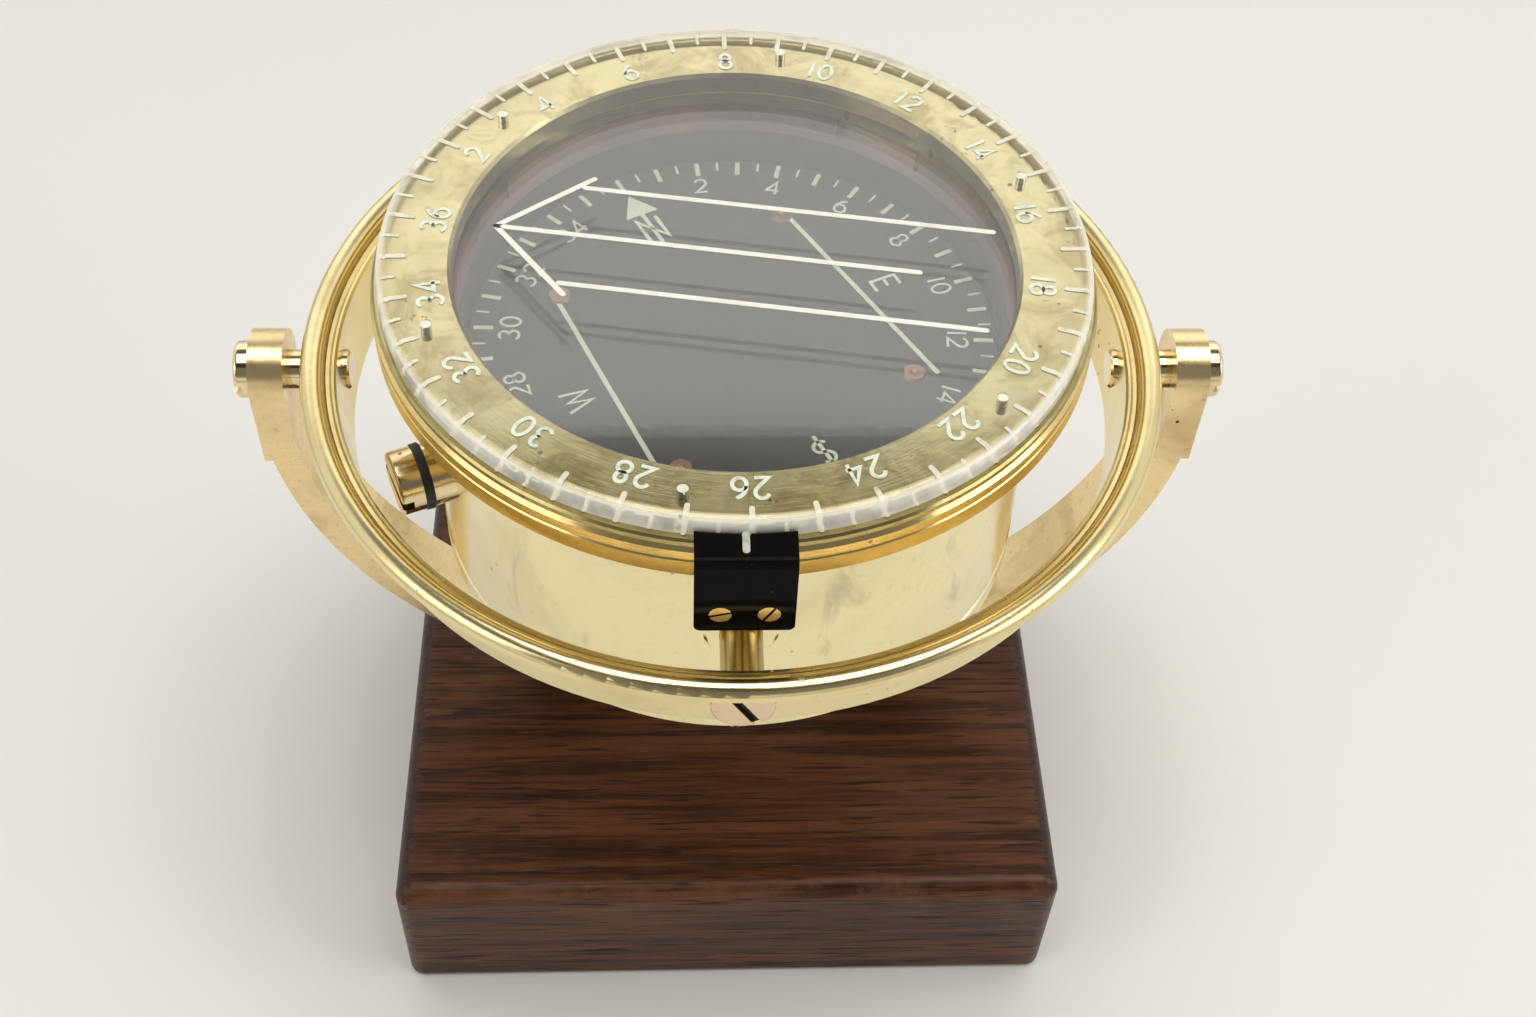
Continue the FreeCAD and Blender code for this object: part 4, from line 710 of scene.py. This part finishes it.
def card_marks():
    low = CARD_HIGH.z + CARD_MARK_LIFT * MM
    high = low + CARD_MARK_DEPTH * MM
    ticks = Marks(low, high)
    for bearing in range(0, 360, 5):
        long = bearing % 10 == 0
        length = CARD_LONG_TICK if long else CARD_SHORT_TICK
        width = CARD_LONG_TICK_WIDTH if long else CARD_SHORT_TICK_WIDTH
        ticks.stroke([(CARD_TICK_OUTER - length, 0.0), (CARD_TICK_OUTER, 0.0)], width,
                     heading(card_angle(bearing)))
    numerals = Marks(low, high)
    for number in range(2, 35, 2):
        numerals.text(str(number), CARD_NUMERAL_HEIGHT, CARD_STROKE,
                      outward(card_angle(10 * number), CARD_NUMERAL_RADIUS), CARD_NUMERAL_SPREAD)
    letters = Marks(low, high)
    for sign, bearing, radius in CARD_LETTERS:
        letters.text(sign, LETTER_HEIGHT, LETTER_STROKE, outward(card_angle(bearing), radius))
    at_north = outward(card_angle(0), NORTH_RADIUS)
    letters.text("N", NORTH_HEIGHT, NORTH_STROKE, at_north)
    letters.stroke([(0.0, NORTH_STEM[0]), (0.0, NORTH_STEM[1])], NORTH_STROKE, at_north)
    letters.stroke([(0.0, -SOUTH_STEM), (0.0, SOUTH_STEM)], SOUTH_STEM_WIDTH,
                   outward(card_angle(180), SOUTH_RADIUS))
    letters.shape(NORTH_ARROW, outward(card_angle(0), NORTH_RADIUS + NORTH_ARROW_OUT))
    north = heading(card_angle(0))
    for side in (-1, 1):
        south_end = (-CARD_LINE_SOUTH, side * CARD_LINE_SOUTH_EAST)
        north_end = (CARD_LINE_NORTH, side * CARD_LINE_NORTH_EAST)
        letters.stroke([south_end, north_end], CARD_LINE_WIDTH, north)
    paint = filled_paint("card_paint", (0.48, 0.50, 0.38), (0.36, 0.37, 0.27), 0.2, 300.0)
    ticks.build("card_ticks", paint, "card")
    numerals.build("card_numerals", paint, "card")
    letters.build("card_letters", paint, "card")


def bracket_mark():
    """Pale filling in the index notch, just below the bracket's top face."""
    low = BRACKET_HIGH.z - (NOTCH_DEPTH - NOTCH_FLOOR_GAP) * MM
    mark = Marks(low, BRACKET_HIGH.z - NOTCH_FILL_DROP * MM)
    ends = [(0.0, NOTCH_INNER), (0.0, NOTCH_INNER - NOTCH_LENGTH)]
    mark.stroke(ends, NOTCH_WIDTH, lambda point: point, True)
    paint = filled_paint("index_filling", (0.52, 0.52, 0.43), (0.26, 0.26, 0.20), 0.3)
    mark.build("index_notch_filling", paint, "bowl")


# ======================================================================================
# Stage
# ======================================================================================
def floor():
    mesh = bmesh.new()
    bmesh.ops.create_grid(mesh, x_segments=8, y_segments=8, size=FLOOR_SIZE)
    data = bpy.data.meshes.new("floor")
    mesh.to_mesh(data)
    mesh.free()
    piece = bpy.data.objects.new("floor", data)
    bpy.context.scene.collection.objects.link(piece)
    data.materials.append(floor_paper())


def camera():
    forward = Vector((math.sin(AZIMUTH) * math.cos(ELEVATION), math.cos(AZIMUTH) * math.cos(ELEVATION),
                      -math.sin(ELEVATION)))
    level = Vector((math.cos(AZIMUTH), -math.sin(AZIMUTH), 0.0))
    upright = level.cross(forward)
    right = level * math.cos(ROLL) + upright * math.sin(ROLL)
    up = upright * math.cos(ROLL) - level * math.sin(ROLL)
    data = bpy.data.cameras.new("camera")
    data.sensor_width = SENSOR
    data.lens = FOCAL_PIXELS * SENSOR / IMAGE_WIDTH
    data.shift_x = (IMAGE_WIDTH / 2 - CENTRE_X) / IMAGE_WIDTH
    data.shift_y = (CENTRE_Y - IMAGE_HEIGHT / 2) / IMAGE_WIDTH
    data.clip_start = 0.01
    data.clip_end = 50.0
    view = bpy.data.objects.new("camera", data)
    turn = Matrix((right, up, -forward)).transposed().to_4x4()
    view.matrix_world = Matrix.Translation(CAMERA_PLACE) @ turn
    bpy.context.scene.collection.objects.link(view)
    bpy.context.scene.camera = view


def softbox(name, place, target, width, height, power, colour):
    data = bpy.data.lights.new(name, "AREA")
    data.shape = "RECTANGLE"
    data.size = width
    data.size_y = height
    data.energy = power
    data.color = colour
    lamp = bpy.data.objects.new(name, data)
    lamp.location = place
    aim = Vector(target) - Vector(place)
    lamp.rotation_euler = aim.to_track_quat("-Z", "Y").to_euler()
    bpy.context.scene.collection.objects.link(lamp)


def map_range(tree, source, start, end):
    """Nought before the start, one past the end, smooth between."""
    node = tree.nodes.new("ShaderNodeMapRange")
    node.interpolation_type = "SMOOTHSTEP"
    tree.links.new(source, node.inputs["Value"])
    node.inputs["From Min"].default_value = start
    node.inputs["From Max"].default_value = end
    return node.outputs["Result"]


def world():
    """Pale studio: bright walls, a dark ceiling and a dim room behind the camera."""
    sky = bpy.data.worlds.new("studio")
    bpy.context.scene.world = sky
    sky.use_nodes = True
    tree = sky.node_tree
    tree.nodes.clear()
    coordinates = tree.nodes.new("ShaderNodeTexCoord")
    split = tree.nodes.new("ShaderNodeSeparateXYZ")
    tree.links.new(coordinates.outputs["Generated"], split.inputs[0])
    ramp = tree.nodes.new("ShaderNodeValToRGB")
    ramp.color_ramp.interpolation = "EASE"
    first, last = ramp.color_ramp.elements
    first.position = CEILING_START
    first.color = WALL_COLOUR
    last.position = CEILING_END
    last.color = CEILING_COLOUR
    tree.links.new(split.outputs["Z"], ramp.inputs[0])
    front = map_range(tree, split.outputs["Y"], 0.10, -0.30)
    above = map_range(tree, split.outputs["Z"], 0.05, 0.30)
    dim = tree.nodes.new("ShaderNodeMath")
    dim.operation = "MULTIPLY"
    tree.links.new(front, dim.inputs[0])
    tree.links.new(above, dim.inputs[1])
    strength = tree.nodes.new("ShaderNodeMapRange")
    tree.links.new(dim.outputs[0], strength.inputs["Value"])
    strength.inputs["To Min"].default_value = 1.0
    strength.inputs["To Max"].default_value = ROOM_DIM
    background = tree.nodes.new("ShaderNodeBackground")
    tree.links.new(strength.outputs["Result"], background.inputs["Strength"])
    tree.links.new(ramp.outputs["Color"], background.inputs["Color"])
    output = tree.nodes.new("ShaderNodeOutputWorld")
    tree.links.new(background.outputs[0], output.inputs[0])


def lights():
    world()
    softbox("rear_softbox", (0.0, 1.30, 1.11), (0.0, 0.0, 1.11), 2.8, 1.22, 5.9, LAMP_COLOUR)
    softbox("top_softbox", (0.15, -0.05, 1.90), (0.15, -0.05, 0.0), 1.5, 1.1, 20.0, LAMP_COLOUR)
    softbox("left_softbox", (-1.3, -0.6, 0.9), (0.0, 0.0, 0.12), 0.9, 0.9, 4.5, LAMP_COLOUR)
    softbox("right_softbox", (1.3, -0.4, 0.8), (0.0, 0.0, 0.12), 0.8, 0.8, 5.0, LAMP_COLOUR)


def materials():
    yoke = brass("yoke_brass", (0.90, 0.71, 0.38), (0.52, 0.37, 0.17), 0.27, 0.8, 1.0, 0.0, 1.0)
    ring = brass("ring_brass", (0.87, 0.73, 0.39), (0.58, 0.46, 0.21), 0.21, 0.35, 0.15, 0.25, 0.6)
    bowl = brass("bowl_brass", (0.95, 0.83, 0.49), (0.66, 0.56, 0.32), 0.17, 0.4, 0.15, 0.15, 0.8,
                 finger_smudges)
    rim = brass("rim_brass", (0.88, 0.68, 0.30), (0.52, 0.38, 0.16), 0.16, 0.45, 0.2, 0.6, 0.6)
    verge = brass("verge_brass", (0.66, 0.575, 0.31), (0.46, 0.38, 0.19), 0.17, 0.45, 0.5, 0.35, 0.8,
                  verge_patina)
    trunnion = brass("trunnion_brass", (0.88, 0.74, 0.46), (0.46, 0.33, 0.17), 0.12, 0.5, 0.3, 0.0, 0.7)
    screw = brass("screw_brass", (0.78, 0.62, 0.34), (0.40, 0.28, 0.14), 0.24, 0.6, 0.4, 0.0, 0.8)
    small = brass("small_screw_brass", (0.62, 0.47, 0.22), (0.34, 0.24, 0.11), 0.2, 0.5, 0.3, 0.0, 0.8,
                  dark_slots)
    bronze = brass("pivot_bronze", (0.48, 0.38, 0.19), (0.30, 0.21, 0.10), 0.22, 0.5, 0.3, 0.0, 0.8,
                   pale_face)
    copper = brass("eyelet_copper", (0.34, 0.19, 0.12), (0.16, 0.09, 0.06), 0.30, 0.6, 0.3, 0.0, 0.8)
    dress(mahogany(), "wooden_base")
    dress(yoke, "yoke")
    dress(ring, "gimbal_ring")
    dress(bowl, "bowl_shell", "bowl_pivot_boss_front", "bowl_pivot_boss_rear", "bottom_cover",
          "bracket_block")
    dress(rim, "bowl_rim", "bezel_ring")
    dress(verge, "verge_ring")
    dress(trunnion, "trunnion_screw_left", "trunnion_screw_right", "filler_boss", "filler_plug")
    dress(screw, "yoke_foot_screws", "bezel_screws",
          "pivot_post", "diaphragm_clamp", "bottom_cover_screws", "card_hub",
          "expansion_diaphragm")
    dress(small, "bracket_screws")
    dress(bronze, "bowl_pivot_screw_front", "bowl_pivot_screw_rear")
    dress(copper, "card_eyelets")
    dress(clear_acrylic(), "grid_disc")
    dress(clear_glass(), "cover_glass")
    dress(sapphire(), "jewel_cup")
    dress(enamel("black_enamel", (0.003, 0.0028, 0.0026), 0.05, 0.2), "index_bracket")
    dress(card_face(), "compass_card")
    dress(well_paint(), "card_well")
    dress(rubber(), "filler_washer")
    dress(cork(), "glass_gasket_lower", "glass_gasket_upper")
    dress(dull_metal("oxidised_brass", (0.20, 0.15, 0.07), (0.09, 0.065, 0.03), 0.35), "lubber_pins")
    dress(grid_screw_metal(), "grid_screws")
    dress(dull_metal("lead", (0.24, 0.25, 0.27), (0.12, 0.12, 0.13), 0.5), "ballast_weight")
    dress(dull_metal("magnet_steel", (0.30, 0.30, 0.32), (0.14, 0.13, 0.13), 0.35),
          "card_magnet_west", "card_magnet_east")
    dress(dull_metal("tinned_sheet", (0.55, 0.53, 0.48), (0.34, 0.32, 0.28), 0.3), "card_float")
    dress(dull_metal("dark_spring", (0.22, 0.18, 0.14), (0.10, 0.08, 0.06), 0.3), "verge_spring_ring")


bpy.context.scene.view_settings.view_transform = "Standard"
camera()
floor()
lights()
materials()
grid_marks()
card_marks()
bracket_mark()
